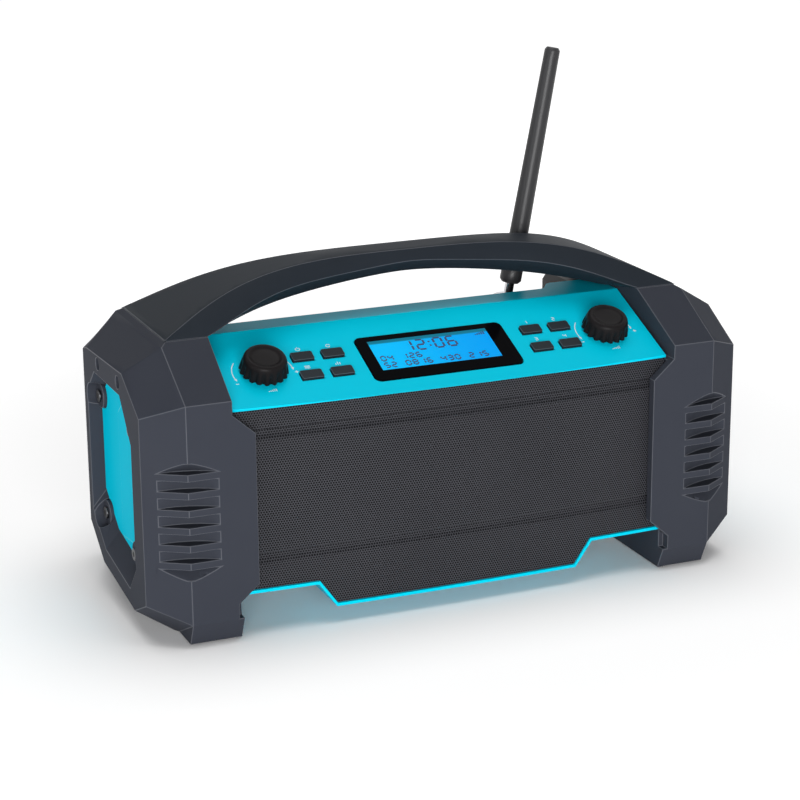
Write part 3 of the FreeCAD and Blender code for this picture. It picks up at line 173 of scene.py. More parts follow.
def perforationGroup():
    group, given, made = newGroup(
        "perforation",
        [("Pitch", "NodeSocketFloat", 0.0019), ("Hole Share", "NodeSocketFloat", 0.33)],
        [("Hole", "NodeSocketFloat"), ("Height", "NodeSocketFloat")],
    )
    links = group.links
    rowRatio = math.sqrt(3.0)
    place = addNode(group, "ShaderNodeTexCoord")
    split = addNode(group, "ShaderNodeSeparateXYZ")
    links.new(place.outputs["Object"], split.inputs[0])
    across = mathNode(group, "DIVIDE", split.outputs["X"], given.outputs["Pitch"])
    rise = mathNode(group, "DIVIDE", split.outputs["Z"], rowRatio)
    upward = mathNode(group, "DIVIDE", rise, given.outputs["Pitch"])
    distances = []
    for shift in (0.0, 0.5):
        cells = []
        for value, stretch in ((across, 1.0), (upward, rowRatio)):
            shifted = mathNode(group, "ADD", value, shift + holePattern["cellsAhead"])
            centred = mathNode(group, "SUBTRACT", mathNode(group, "FRACT", shifted), 0.5)
            cells.append(mathNode(group, "MULTIPLY", centred, stretch))
        joined = addNode(group, "ShaderNodeCombineXYZ")
        links.new(cells[0], joined.inputs["X"])
        links.new(cells[1], joined.inputs["Y"])
        distances.append(lengthNode(group, joined.outputs[0]))
    nearest = mathNode(group, "MINIMUM", distances[0], distances[1])
    ramp = addNode(group, "ShaderNodeMapRange", interpolation_type="SMOOTHSTEP")
    links.new(nearest, ramp.inputs["Value"])
    share, softness = given.outputs["Hole Share"], holePattern["softness"]
    links.new(mathNode(group, "SUBTRACT", share, softness), ramp.inputs["From Min"])
    links.new(mathNode(group, "ADD", share, softness), ramp.inputs["From Max"])
    ramp.inputs["To Min"].default_value = 1.0
    ramp.inputs["To Max"].default_value = 0.0
    links.new(ramp.outputs["Result"], made.inputs["Hole"])
    links.new(mathNode(group, "SUBTRACT", 1.0, ramp.outputs["Result"]), made.inputs["Height"])
    return group


mouldedGrain = mouldedGrainGroup()
perforation = perforationGroup()

# Finishes, one set of values each
finishes = {
    "frameRubber": {
        "colour": (0.038, 0.042, 0.055), "drift": (0.047, 0.051, 0.064),
        "grain": 1500.0, "rough": 0.50, "swing": 0.10, "bump": 0.14, "specular": 0.02,
    },
    # Paler finish for the frames' softened edges: painted highlight
    "frameEdgeHighlight": {
        "colour": (0.066, 0.071, 0.087), "drift": (0.100, 0.106, 0.124),
        "grain": 900.0, "rough": 0.40, "swing": 0.10, "bump": 0.05, "specular": 0.15,
    },
    "handleRubber": {
        "colour": (0.016, 0.020, 0.026), "drift": (0.021, 0.026, 0.033),
        "grain": 1500.0, "rough": 0.50, "swing": 0.10, "bump": 0.14, "specular": 0.045,
    },
    # Paler finish for the handle's softened edges: painted highlight
    "handleEdgeHighlight": {
        "colour": (0.045, 0.050, 0.062), "drift": (0.075, 0.081, 0.095),
        "grain": 900.0, "rough": 0.40, "swing": 0.10, "bump": 0.05, "specular": 0.15,
    },
    "turquoiseShell": {
        "colour": (0.0, 0.615, 0.825), "drift": (0.0, 0.640, 0.855),
        "grain": 1800.0, "rough": 0.36, "swing": 0.06, "bump": 0.04, "specular": 0.05,
    },
    "sidePanelShell": {
        "colour": (0.0, 0.600, 0.820), "drift": (0.0, 0.625, 0.845),
        "grain": 1800.0, "rough": 0.36, "swing": 0.06, "bump": 0.04, "specular": 0.006,
    },
    # Paler finish for the side panels' softened edges: painted highlight
    "turquoiseEdgeHighlight": {
        "colour": (0.02, 0.700, 0.860), "drift": (0.03, 0.740, 0.900),
        "grain": 1800.0, "rough": 0.30, "swing": 0.06, "bump": 0.02, "specular": 0.15,
    },
    "blackShell": {
        "colour": (0.012, 0.012, 0.014), "drift": (0.017, 0.017, 0.019),
        "grain": 1400.0, "rough": 0.48, "swing": 0.08, "bump": 0.10, "specular": 0.25,
    },
    "knobRubber": {
        "colour": (0.008, 0.007, 0.0075), "drift": (0.012, 0.0105, 0.011),
        "grain": 2200.0, "rough": 0.34, "swing": 0.08, "bump": 0.05, "specular": 0.06,
    },
    "mastRubber": {
        "colour": (0.026, 0.026, 0.028), "drift": (0.032, 0.032, 0.034),
        "grain": 2200.0, "rough": 0.36, "swing": 0.08, "bump": 0.05, "specular": 0.25,
    },
    "keyRubber": {
        "colour": (0.012, 0.018, 0.023), "drift": (0.016, 0.022, 0.028),
        "grain": 2200.0, "rough": 0.42, "swing": 0.06, "bump": 0.05, "specular": 0.10,
    },
    # Paler finish for the keys' softened edges: painted highlight
    "keyEdgeHighlight": {
        "colour": (0.060, 0.075, 0.088), "drift": (0.080, 0.097, 0.112),
        "grain": 2200.0, "rough": 0.36, "swing": 0.06, "bump": 0.02, "specular": 0.20,
    },
    "bezelGloss": {
        "colour": (0.0015, 0.0015, 0.002), "drift": (0.002, 0.002, 0.003),
        "grain": 300.0, "rough": 0.06, "swing": 0.02, "bump": 0.0, "specular": 0.012,
    },
    "padRubber": {
        "colour": (0.014, 0.014, 0.015), "drift": (0.019, 0.019, 0.020),
        "grain": 1000.0, "rough": 0.75, "swing": 0.1, "bump": 0.2, "specular": 0.4,
    },
    "board": {
        "colour": (0.01, 0.09, 0.04), "drift": (0.012, 0.11, 0.05),
        "grain": 700.0, "rough": 0.35, "swing": 0.1, "bump": 0.05, "specular": 0.5,
    },
    "speakerPaper": {
        "colour": (0.02, 0.02, 0.02), "drift": (0.03, 0.03, 0.03),
        "grain": 600.0, "rough": 0.85, "swing": 0.1, "bump": 0.3, "specular": 0.3,
    },
    "batteryWrap": {
        "colour": (0.03, 0.045, 0.13), "drift": (0.035, 0.05, 0.14),
        "grain": 500.0, "rough": 0.3, "swing": 0.1, "bump": 0.03, "specular": 0.5,
    },
    "printWhite": {
        "colour": (0.72, 0.80, 0.82), "drift": (0.66, 0.76, 0.79),
        "grain": 2000.0, "rough": 0.5, "swing": 0.05, "bump": 0.0, "specular": 0.4,
    },
    "displayInk": {
        "colour": (0.004, 0.035, 0.13), "drift": (0.005, 0.040, 0.15),
        "grain": 900.0, "rough": 0.3, "swing": 0.05, "bump": 0.0, "specular": 0.4,
    },
    # Near-black for the screw drives: painted shade of the socket recesses
    "socketPaintedShade": {
        "colour": (0.004, 0.004, 0.004), "drift": (0.006, 0.006, 0.006),
        "grain": 900.0, "rough": 0.6, "swing": 0.05, "bump": 0.0, "specular": 0.3,
    },
}


def rgba(colour):
    return (colour[0], colour[1], colour[2], 1.0)


def newMaterial(name):
    material = bpy.data.materials.new(name)
    material.use_nodes = True
    tree = material.node_tree
    return material, tree, tree.nodes["Principled BSDF"]


def addBump(tree, shader, height, strength, depth=0.0001):
    if strength <= 0.0:
        return
    bump = addNode(tree, "ShaderNodeBump")
    bump.inputs["Strength"].default_value = strength
    bump.inputs["Distance"].default_value = depth
    tree.links.new(height, bump.inputs["Height"])
    tree.links.new(bump.outputs["Normal"], shader.inputs["Normal"])


def placeGrain(tree, values):
    grain = addNode(tree, "ShaderNodeGroup", node_tree=mouldedGrain)
    grain.inputs["Colour"].default_value = rgba(values["colour"])
    grain.inputs["Drift Colour"].default_value = rgba(values["drift"])
    grain.inputs["Grain Scale"].default_value = values["grain"]
    grain.inputs["Roughness"].default_value = values["rough"]
    grain.inputs["Roughness Drift"].default_value = values["swing"]
    return grain


def mouldedMaterial(name, values):
    material, tree, shader = newMaterial(name)
    grain = placeGrain(tree, values)
    tree.links.new(grain.outputs["Colour"], shader.inputs["Base Color"])
    tree.links.new(grain.outputs["Roughness"], shader.inputs["Roughness"])
    shader.inputs["Specular IOR Level"].default_value = values["specular"]
    addBump(tree, shader, grain.outputs["Height"], values["bump"])
    return material


metals = {
    "platedMetal": {
        "colour": (0.62, 0.62, 0.64), "drift": (0.5, 0.5, 0.52),
        "grain": 900.0, "rough": 0.12, "swing": 0.1,
    },
    "screwSteel": {
        "colour": (0.07, 0.07, 0.075), "drift": (0.10, 0.10, 0.105),
        "grain": 900.0, "rough": 0.35, "swing": 0.15,
    },
    "speakerMetal": {
        "colour": (0.06, 0.06, 0.06), "drift": (0.08, 0.08, 0.08),
        "grain": 900.0, "rough": 0.4, "swing": 0.1,
    },
}


def metalMaterial(name, values):
    material, tree, shader = newMaterial(name)
    grain = placeGrain(tree, values)
    tree.links.new(grain.outputs["Colour"], shader.inputs["Base Color"])
    tree.links.new(grain.outputs["Roughness"], shader.inputs["Roughness"])
    shader.inputs["Metallic"].default_value = 1.0
    return material


# Painted grille steel with dark holes
grilleFinish = {
    "colour": (0.050, 0.051, 0.059), "drift": (0.066, 0.067, 0.076), "hole": (0.001, 0.001, 0.002, 1.0),
    "grain": 1200.0, "rough": 0.42, "swing": 0.06, "specular": 0.10,
    "pitch": 0.00138, "holeShare": 0.36, "bump": 0.6, "bumpDepth": 0.0002,
}


def grilleMaterial(values):
    material, tree, shader = newMaterial("grilleSteel")
    grain = placeGrain(tree, values)
    holes = addNode(tree, "ShaderNodeGroup", node_tree=perforation)
    holes.inputs["Pitch"].default_value = values["pitch"]
    holes.inputs["Hole Share"].default_value = values["holeShare"]
    colour = mixColours(tree, holes.outputs["Hole"], grain.outputs["Colour"], values["hole"])
    tree.links.new(colour, shader.inputs["Base Color"])
    tree.links.new(grain.outputs["Roughness"], shader.inputs["Roughness"])
    shader.inputs["Specular IOR Level"].default_value = values["specular"]
    addBump(tree, shader, holes.outputs["Height"], values["bump"], values["bumpDepth"])
    return material


# Backlit display pane, paler at its left and shaded along its top edge
paneFinish = {
    "bright": (0.001, 0.42, 0.80, 1.0), "deep": (0.0, 0.29, 0.74, 1.0), "glow": 0.42, "rough": 0.16,
    "specular": 0.04, "leftEdge": -0.0349, "rightEdge": 0.0316,
    "shade": (0.004, 0.150, 0.230, 1.0), "shadeFrom": 0.0013, "shadeFull": 0.0007,
}


def paneMaterial(values):
    material, tree, shader = newMaterial("displayPane")
    place = addNode(tree, "ShaderNodeTexCoord")
    split = addNode(tree, "ShaderNodeSeparateXYZ")
    tree.links.new(place.outputs["Object"], split.inputs[0])
    across = addNode(tree, "ShaderNodeMapRange", interpolation_type="SMOOTHSTEP")
    across.inputs["From Min"].default_value = values["leftEdge"]
    across.inputs["From Max"].default_value = values["rightEdge"]
    tree.links.new(split.outputs["X"], across.inputs["Value"])
    colour = mixColours(tree, across.outputs["Result"], values["bright"], values["deep"])
    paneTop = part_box("lcd_window")[1][2]
    upward = addNode(tree, "ShaderNodeMapRange", interpolation_type="SMOOTHSTEP")
    upward.inputs["From Min"].default_value = paneTop - values["shadeFrom"]
    upward.inputs["From Max"].default_value = paneTop - values["shadeFull"]
    tree.links.new(split.outputs["Z"], upward.inputs["Value"])
    colour = mixColours(tree, upward.outputs["Result"], colour, values["shade"])
    tree.links.new(colour, shader.inputs["Base Color"])
    tree.links.new(colour, shader.inputs["Emission Color"])
    shader.inputs["Emission Strength"].default_value = values["glow"]
    shader.inputs["Roughness"].default_value = values["rough"]
    shader.inputs["Specular IOR Level"].default_value = values["specular"]
    return material


materials = {name: mouldedMaterial(name, values) for name, values in finishes.items()}
materials.update({name: metalMaterial(name, values) for name, values in metals.items()})
materials["grilleSteel"] = grilleMaterial(grilleFinish)
materials["displayPane"] = paneMaterial(paneFinish)
print("finishes made:", len(materials))

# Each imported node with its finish, and the width of its softened edges in millimetres
nodeLooks = {
    "left_end_frame": ("frameRubber", 0.5),
    "right_end_frame": ("frameRubber", 0.5),
    "carry_handle": ("handleRubber", 0.45),
    "left_side_panel": ("sidePanelShell", 0.4),
    "right_side_panel": ("sidePanelShell", 0.4),
    "side_panel_screws": ("screwSteel", 0.3),
    "frame_screws": ("screwSteel", 0.3),
    "foot_pads": ("padRubber", 0.3),
    "front_housing": ("turquoiseShell", 0.3),
    "rear_housing": ("blackShell", 0.3),
    "speaker_grille": ("grilleSteel", 0.0),
    "display_bezel": ("bezelGloss", 0.15),
    "lcd_window": ("displayPane", 0.0),
    "lcd_module": ("blackShell", 0.0),
    "main_board": ("board", 0.0),
    "antenna_turret": ("platedMetal", 0.2),
    "antenna_pin": ("platedMetal", 0.0),
    "antenna_hinge": ("platedMetal", 0.0),
    "antenna_mast": ("mastRubber", 0.25),
    "port_panel": ("blackShell", 0.0),
    "port_cover": ("blackShell", 0.3),
    "port_hinge_rod": ("platedMetal", 0.0),
    "battery_cover": ("blackShell", 0.3),
    "battery_pack": ("batteryWrap", 0.0),
    "battery_cover_screws": ("screwSteel", 0.2),
    "left_key_mat": ("keyRubber", 0.0),
    "right_key_mat": ("keyRubber", 0.0),
    "volume_encoder": ("blackShell", 0.0),
    "tuning_encoder": ("blackShell", 0.0),
    "volume_shaft": ("platedMetal", 0.0),
    "tuning_shaft": ("platedMetal", 0.0),
    "volume_knob": ("knobRubber", 0.25),
    "tuning_knob": ("knobRubber", 0.25),
    "left_speaker": ("speakerMetal", 0.0),
    "right_speaker": ("speakerMetal", 0.0),
    "left_speaker_cone": ("speakerPaper", 0.0),
    "right_speaker_cone": ("speakerPaper", 0.0),
    "power_button": ("keyRubber", 0.25),
    "mode_button": ("keyRubber", 0.25),
    "menu_button": ("keyRubber", 0.25),
    "tone_button": ("keyRubber", 0.25),
    "preset_one_button": ("keyRubber", 0.25),
    "preset_two_button": ("keyRubber", 0.25),
    "preset_three_button": ("keyRubber", 0.25),
    "preset_four_button": ("keyRubber", 0.25),
}


# Finishes whose softened edges get a paler finish: painted highlights along the edges
edgeHighlightFinishes = {
    "frameRubber": "frameEdgeHighlight", "handleRubber": "handleEdgeHighlight", "sidePanelShell": "turquoiseEdgeHighlight",
    "keyRubber": "keyEdgeHighlight",
}

# Corners closer than the weld, in metres, are joined, and edges sharper than the angle are softened
softening = {"weld": 0.000005, "segments": 2, "angle": 26.0}


def dressNode(node, finish, edgeWidth):
    node.data.materials.clear()
    node.data.materials.append(materials[finish])
    if edgeWidth <= 0.0:
        return
    if finish in edgeHighlightFinishes:
        node.data.materials.append(materials[edgeHighlightFinishes[finish]])
    weld = node.modifiers.new("weld", "WELD")
    weld.merge_threshold = softening["weld"]
    soft = node.modifiers.new("softEdges", "BEVEL")
    soft.width = edgeWidth / mmPerMetre
    soft.segments = softening["segments"]
    soft.limit_method = "ANGLE"
    soft.angle_limit = math.radians(softening["angle"])
    soft.offset_type = "WIDTH"
    soft.use_clamp_overlap = False  # else one short edge holds all the others to its own width
    soft.loop_slide = False
    soft.harden_normals = True
    # The new edge faces take the paler finish where there is one: painted highlights
    soft.material = 1 if finish in edgeHighlightFinishes else -1


for nodeName, (finish, edgeWidth) in nodeLooks.items():
    dressNode(nodes[nodeName], finish, edgeWidth)
print("nodes dressed:", len(nodeLooks))

# The control panel's slope: sideways, up the slope and out of it, all in millimetres
panelSlope = {"front": -69.7, "height": 119.6, "angle": 22.9}


def panelPoint(across, upward, out):
    angle = math.radians(panelSlope["angle"])
    depth = panelSlope["front"] + upward * math.cos(angle) - out * math.sin(angle)
    height = panelSlope["height"] + upward * math.sin(angle) + out * math.cos(angle)
    return Vector((across, depth, height)) / mmPerMetre


# A closed form through rings of corners, with a flat face at each end
def closeRings(build, rings):
    for lower, upper in zip(rings, rings[1:]):
        for index in range(len(lower)):
            after = (index + 1) % len(lower)
            build.faces.new((lower[index], lower[after], upper[after], upper[index]))
    build.faces.new(rings[-1])
    build.faces.new(list(reversed(rings[0])))


def makePiece(name, build, finish):
    bmesh.ops.recalc_face_normals(build, faces=build.faces)
    mesh = bpy.data.meshes.new(name)
    build.to_mesh(mesh)
    build.free()
    mesh.materials.append(materials[finish])
    piece = bpy.data.objects.new(name, mesh)
    bpy.context.scene.collection.objects.link(piece)
    return piece


# Closed thin shapes on the panel, from flat outlines that lie between two heights
def panelShapes(name, outlines, heights, finish):
    build = bmesh.new()
    for outline in outlines:
        rings = [[build.verts.new(panelPoint(x, up, out)) for x, up in outline] for out in heights]
        closeRings(build, rings)
    piece = makePiece(name, build, finish)
    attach(piece, "radio")


def pointRound(middleX, middleUp, reach, angle):
    return middleX + reach * math.cos(angle), middleUp + reach * math.sin(angle)


# Knobs with flutes that run out upwards, a rounded shoulder and a dished top
# Each profile point is radius, height over the panel, and how much of the flute shows there
knobForm = {
    "across": 95.3, "upward": 24.6, "flutes": 18, "fluteDepth": 1.5, "fluteCurve": 1.6, "perFlute": 10,
    "sharpAngle": 50.0,
    "profile": (
        (3.1, 7.4, 0.0), (3.1, 2.6, 0.0), (5.6, 2.6, 0.0), (5.6, 1.0, 0.0), (12.25, 1.0, 1.0),
        (12.55, 1.3, 1.0), (12.3, 3.0, 0.86), (11.95, 4.6, 0.62), (11.6, 6.0, 0.34), (11.3, 7.2, 0.1),
        (11.0, 8.2, 0.0), (10.7, 9.0, 0.0), (10.25, 9.7, 0.0), (9.6, 10.2, 0.0), (8.9, 10.38, 0.0),
        (8.3, 10.3, 0.0), (7.7, 9.9, 0.0), (7.2, 9.45, 0.0), (6.4, 9.25, 0.0), (3.0, 9.15, 0.0),
    ),
}


def knobMesh(name, values, side, body):
    steps = values["flutes"] * values["perFlute"]
    middle = values["across"] * side
    build = bmesh.new()
    rings = []
    for radius, height, share in values["profile"]:
        ring = []
        for step in range(steps):
            angle = 2.0 * math.pi * step / steps
            wave = (0.5 - 0.5 * math.cos(values["flutes"] * angle)) ** values["fluteCurve"]
            reach = radius - values["fluteDepth"] * share * wave
            across, upward = pointRound(middle, values["upward"], reach, angle)
            ring.append(build.verts.new(panelPoint(across, upward, height)))
        rings.append(ring)
    closeRings(build, rings)
    for face in build.faces:
        face.smooth = True
    piece = makePiece(name, build, "knobRubber")
    piece.data.set_sharp_from_angle(angle=math.radians(values["sharpAngle"]))
    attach(piece, body)
    return piece


for knobName, side in (("volume", -1.0), ("tuning", 1.0)):
    fluted = knobMesh(knobName + "_fluted_knob", knobForm, side, knobName + "_knob_body")
    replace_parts(fluted, knobName + "_knob")
print("knobs made")

# Grille skin: bowed, with two grooves right across
# Each groove point is its height, and how far the skin stands proud of the grille's wall there
grilleForm = {
    "half": 119.4, "foot": 24.5, "bellyFoot": 11.3, "stepOuter": 76.49, "stepInner": 66.99, "top": 117.6,
    "frontWall": 67.4, "bow": 3.0, "bowHalf": 119.7, "inside": 0.3, "columns": 48,
    "grooves": (
        (37.6, 1.9), (39.6, 0.45), (42.4, 0.45), (43.3, 2.25),
        (101.9, 2.25), (103.9, 0.45), (106.7, 0.45), (107.6, 1.9),
    ),
    "flat": 1.9,
}


def grilleDepth(across, margin, values):
    bow, half = values["bow"], values["bowHalf"]
    radius = (half * half + bow * bow) / (2.0 * bow) + margin
    middle = -values["frontWall"] - bow + radius - margin
    return middle - math.sqrt(radius * radius - across * across)


def grilleFoot(across, values):
    outer, inner = values["stepOuter"], values["stepInner"]
    share = min(max((outer - abs(across)) / (outer - inner), 0.0), 1.0)
    return values["foot"] + (values["bellyFoot"] - values["foot"]) * share


def grilleMesh(name, values):
    half = values["half"]
    spots = [half * (2.0 * index / values["columns"] - 1.0) for index in range(values["columns"] + 1)]
    for knee in (values["stepOuter"], values["stepInner"]):
        spots += [-knee, knee]
    build = bmesh.new()
    fronts, backs = [], []
    for across in sorted(spots):
        levels = [(grilleFoot(across, values), values["flat"])] + list(values["grooves"])
        levels.append((values["top"], values["flat"]))
        front, back = [], []
        for height, margin in levels:
            near = Vector((across, grilleDepth(across, margin, values), height))
            far = Vector((across, grilleDepth(across, values["inside"], values), height))
            front.append(build.verts.new(near / mmPerMetre))
            back.append(build.verts.new(far / mmPerMetre))
        fronts.append(front)
        backs.append(back)
    rows = len(fronts[0])
    for column in range(len(fronts) - 1):
        left, right = fronts[column], fronts[column + 1]
        farLeft, farRight = backs[column], backs[column + 1]
        for row in range(rows - 1):
            build.faces.new((left[row], right[row], right[row + 1], left[row + 1]))
            build.faces.new((farLeft[row], farLeft[row + 1], farRight[row + 1], farRight[row]))
        build.faces.new((left[0], farLeft[0], farRight[0], right[0]))
        build.faces.new((left[-1], right[-1], farRight[-1], farLeft[-1]))
    for front, back in ((fronts[0], backs[0]), (fronts[-1], backs[-1])):
        for row in range(rows - 1):
            build.faces.new((front[row], front[row + 1], back[row + 1], back[row]))
    piece = makePiece(name, build, "grilleSteel")
    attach(piece, "radio")
    return piece


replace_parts(grilleMesh("grille_skin", grilleForm), "speaker_grille")
print("grille skin made")


def barOutline(startX, startUp, endX, endUp, width):
    run = Vector((endX - startX, endUp - startUp))
    side = Vector((-run.y, run.x)).normalized() * (width / 2.0)
    return [
        (startX - side.x, startUp - side.y),
        (endX - side.x, endUp - side.y),
        (endX + side.x, endUp + side.y),
        (startX + side.x, startUp + side.y),
    ]


def arcOutlines(centreX, centreUp, radius, width, arc, steps):
    start, end = arc
    inner, outer = radius - width / 2.0, radius + width / 2.0
    strips = []
    for index in range(steps):
        before, after = (math.radians(start + (end - start) * (index + k) / steps) for k in (0, 1))
        corners = ((inner, before), (outer, before), (outer, after), (inner, after))
        strips.append([pointRound(centreX, centreUp, reach, angle) for reach, angle in corners])
    return strips


# An arrow's head on an arc: half its width and its length, as shares of its size
arrowForm = {"halfWide": 0.6, "long": 1.5}


def arrowHead(centreX, centreUp, radius, atAngle, size, turnSign):
    base = math.radians(atAngle)
    tip = math.radians(atAngle + turnSign * math.degrees(size * arrowForm["long"] / radius))
    half = size * arrowForm["halfWide"]
    corners = ((radius - half, base), (radius + half, base), (radius, tip))
    return [pointRound(centreX, centreUp, reach, angle) for reach, angle in corners]


# A row of upright bars, each taller than the one before it
def levelBars(left, foot, form):
    bars = []
    for step in range(form["count"]):
        x = left + step * form["space"]
        bars.append(barOutline(x, foot, x, foot + form["first"] + step * form["rise"], form["stroke"]))
    return bars


# The lit bars of each digit: a top, b and c upper sides, d middle, e and f lower sides, g bottom
digitBars = {
    "0": "abcefg", "1": "cf", "2": "acdeg", "3": "acdfg",
    "4": "bcdf", "5": "abdfg", "6": "abdefg", "8": "abcdefg",
}
digitGap = 0.4  # what is left open at each end of a bar, as a share of its stroke


def digitOutlines(digit, left, foot, wide, tall, stroke):
    right, middle, top = left + wide, foot + tall / 2.0, foot + tall
    gap = stroke * digitGap
    runs = {
        "a": (left + gap, top, right - gap, top),
        "b": (left, middle + gap, left, top - gap),
        "c": (right, middle + gap, right, top - gap),
        "d": (left + gap, middle, right - gap, middle),
        "e": (left, foot + gap, left, middle - gap),
        "f": (right, foot + gap, right, middle - gap),
        "g": (left + gap, foot, right - gap, foot),
    }
    return [barOutline(*runs[bar], stroke) for bar in digitBars[digit]]


# White print round each knob: two arrows, a minus, a plus and level bars below
printHeights = (-0.08, 0.06)
knobPrint = {
    "stroke": 0.5, "arcRadius": 15.8, "arcSteps": 16, "arrow": 1.3,
    "arcs": (((142.0, 190.0), 1.0), ((44.0, 4.0), -1.0)),
    "signReach": 17.0, "minusAngle": 203.0, "minusHalf": 0.8, "plusAngle": -9.0, "plusHalf": 0.9,
    "levelLeft": -2.0, "levelDrop": 15.4,
    "level": {"count": 5, "space": 1.0, "first": 0.5, "rise": 0.35, "stroke": 0.5},
}


def knobMarks(values, side):
    centreX, centreUp = knobForm["across"] * side, knobForm["upward"]
    radius, stroke, reach = values["arcRadius"], values["stroke"], values["signReach"]
    shapes = []
    for arc, turnSign in values["arcs"]:
        shapes += arcOutlines(centreX, centreUp, radius, stroke, arc, values["arcSteps"])
        shapes.append(arrowHead(centreX, centreUp, radius, arc[1], values["arrow"], turnSign))
    half = values["minusHalf"]
    x, up = pointRound(centreX, centreUp, reach, math.radians(values["minusAngle"]))
    shapes.append(barOutline(x - half, up, x + half, up, stroke))
    half = values["plusHalf"]
    x, up = pointRound(centreX, centreUp, reach, math.radians(values["plusAngle"]))
    shapes.append(barOutline(x - half, up, x + half, up, stroke))
    shapes.append(barOutline(x, up - half, x, up - stroke / 2.0, stroke))
    shapes.append(barOutline(x, up + stroke / 2.0, x, up + half, stroke))
    levelLeft, levelFoot = centreX + values["levelLeft"], centreUp - values["levelDrop"]
    return shapes + levelBars(levelLeft, levelFoot, values["level"])


# White print over the buttons: numbers over the right four, plain signs over the left four
keyPrint = {
    "inner": 55.6, "outer": 72.0, "low": 17.8, "high": 32.6, "signRise": 6.8, "footRise": 5.9,
    "digitWide": 1.5, "digitTall": 2.3, "stroke": 0.45, "arcSteps": 12,
    "ring": {"radius": 1.15, "arc": (125.0, 415.0), "barFrom": 0.3, "barTo": 1.6},
    "lines": {"half": 1.4, "space": 0.85},
    "columns": {"space": 1.1, "shares": (0.5, 1.0, 0.7)},
    "turn": {"radius": 1.1, "arc": (20.0, 290.0), "arrowAngle": 285.0, "arrow": 0.9},
}


def keyMarks(values):
    inner, outer, low, high = values["inner"], values["outer"], values["low"], values["high"]
    wide, tall, stroke = values["digitWide"], values["digitTall"], values["stroke"]
    shapes = []
    for digit, x, up in (("1", inner, high), ("2", outer, high), ("3", inner, low), ("4", outer, low)):
        shapes += digitOutlines(digit, x - wide / 2.0, up + values["footRise"], wide, tall, stroke)
    ring, up = values["ring"], high + values["signRise"]
    shapes += arcOutlines(-outer, up, ring["radius"], stroke, ring["arc"], values["arcSteps"])
    shapes.append(barOutline(-outer, up + ring["barFrom"], -outer, up + ring["barTo"], stroke))
    turn = values["turn"]
    shapes += arcOutlines(-inner, up, turn["radius"], stroke, turn["arc"], values["arcSteps"])
    shapes.append(arrowHead(-inner, up, turn["radius"], turn["arrowAngle"], turn["arrow"], 1.0))
    lines, columns = values["lines"], values["columns"]
    for step, share in zip((-1.0, 0.0, 1.0), columns["shares"]):
        up = low + values["signRise"] + step * lines["space"]
        shapes.append(barOutline(-outer - lines["half"], up, -outer + lines["half"], up, stroke))
        x, foot = -inner + step * columns["space"], low + values["footRise"]
        shapes.append(barOutline(x, foot, x, foot + tall * share, stroke))
    return shapes


for sideName, side in (("volume", -1.0), ("tuning", 1.0)):
    panelShapes(sideName + "_knob_print", knobMarks(knobPrint, side), printHeights, "printWhite")
panelShapes("button_print", keyMarks(keyPrint), printHeights, "printWhite")
print("panel print made")

# Display segments: a clock, two rows of plain digits and level bars on the pane
displayHeights = (0.30, 0.42)
displayMarks = {
    "rows": (
        {
            "signs": "12:06", "left": -17.0, "foot": 27.4,
            "wide": 4.4, "tall": 7.8, "space": 7.2, "stroke": 1.15,
        },
        {
            "signs": "04 126", "left": -32.4, "foot": 21.7,
            "wide": 2.4, "tall": 3.7, "space": 3.9, "stroke": 0.8,
        },
        {
            "signs": "52 0816 430 215", "left": -32.4, "foot": 16.2,
            "wide": 2.4, "tall": 3.7, "space": 3.9, "stroke": 0.8,
        },
    ),
    "colon": {"shares": (0.3, 0.7), "half": 0.5, "stroke": 1.0, "spaceShare": 0.38},
    "levelLeft": 24.4, "levelFoot": 33.6,
    "level": {"count": 5, "space": 1.2, "first": 0.6, "rise": 0.5, "stroke": 0.7},
}


def displayRow(row, colon):
    shapes = []
    x = row["left"]
    for sign in row["signs"]:
        if sign == ":":
            left, right = x - colon["half"], x + colon["half"]
            for share in colon["shares"]:
                dotUp = row["foot"] + row["tall"] * share
                shapes.append(barOutline(left, dotUp, right, dotUp, colon["stroke"]))
            x += row["space"] * colon["spaceShare"]
            continue
        if sign != " ":
            shapes += digitOutlines(sign, x, row["foot"], row["wide"], row["tall"], row["stroke"])
        x += row["space"]
    return shapes


def displayShapes(values):
    shapes = []
    for row in values["rows"]:
        shapes += displayRow(row, values["colon"])
    return shapes + levelBars(values["levelLeft"], values["levelFoot"], values["level"])


panelShapes("display_segments", displayShapes(displayMarks), displayHeights, "displayInk")
print("display segments made")

# Six-sided drives in the screw heads, drawn as near-black prisms: painted shade standing in for the
# socket recesses. Each spot is its depth and height in millimetres
screwDrives = {
    "side": {
        "face": 161.2, "radius": 1.6, "sink": 0.3, "proud": 0.05,
        "spots": ((-31.2, 102.8), (23.5, 105.8), (20.0, 43.0), (-31.2, 37.5)),
    },
    "frame": {
        "face": 162.6, "radius": 1.5, "sink": 0.3, "proud": 0.05,
        "spots": ((-28.0, 127.3), (8.0, 127.3)),
    },
}


def sidewaysHexagons(name, values):
    build = bmesh.new()
    for side in (-1.0, 1.0):
        for depth, height in values["spots"]:
            rings = []
            for x in (values["face"] - values["sink"], values["face"] + values["proud"]):
                ring = []
                for step in range(6):
                    angle = math.radians(60.0 * step)
                    cornerY, cornerZ = pointRound(depth, height, values["radius"], angle)
                    ring.append(build.verts.new(Vector((side * x, cornerY, cornerZ)) / mmPerMetre))
                rings.append(ring)
            closeRings(build, rings)
    # The drives take the near-black finish: painted shade
    piece = makePiece(name, build, "socketPaintedShade")
    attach(piece, "radio")


for kind, drive in screwDrives.items():
    sidewaysHexagons(kind + "_screw_drive_shades", drive)
print("screw drives made")

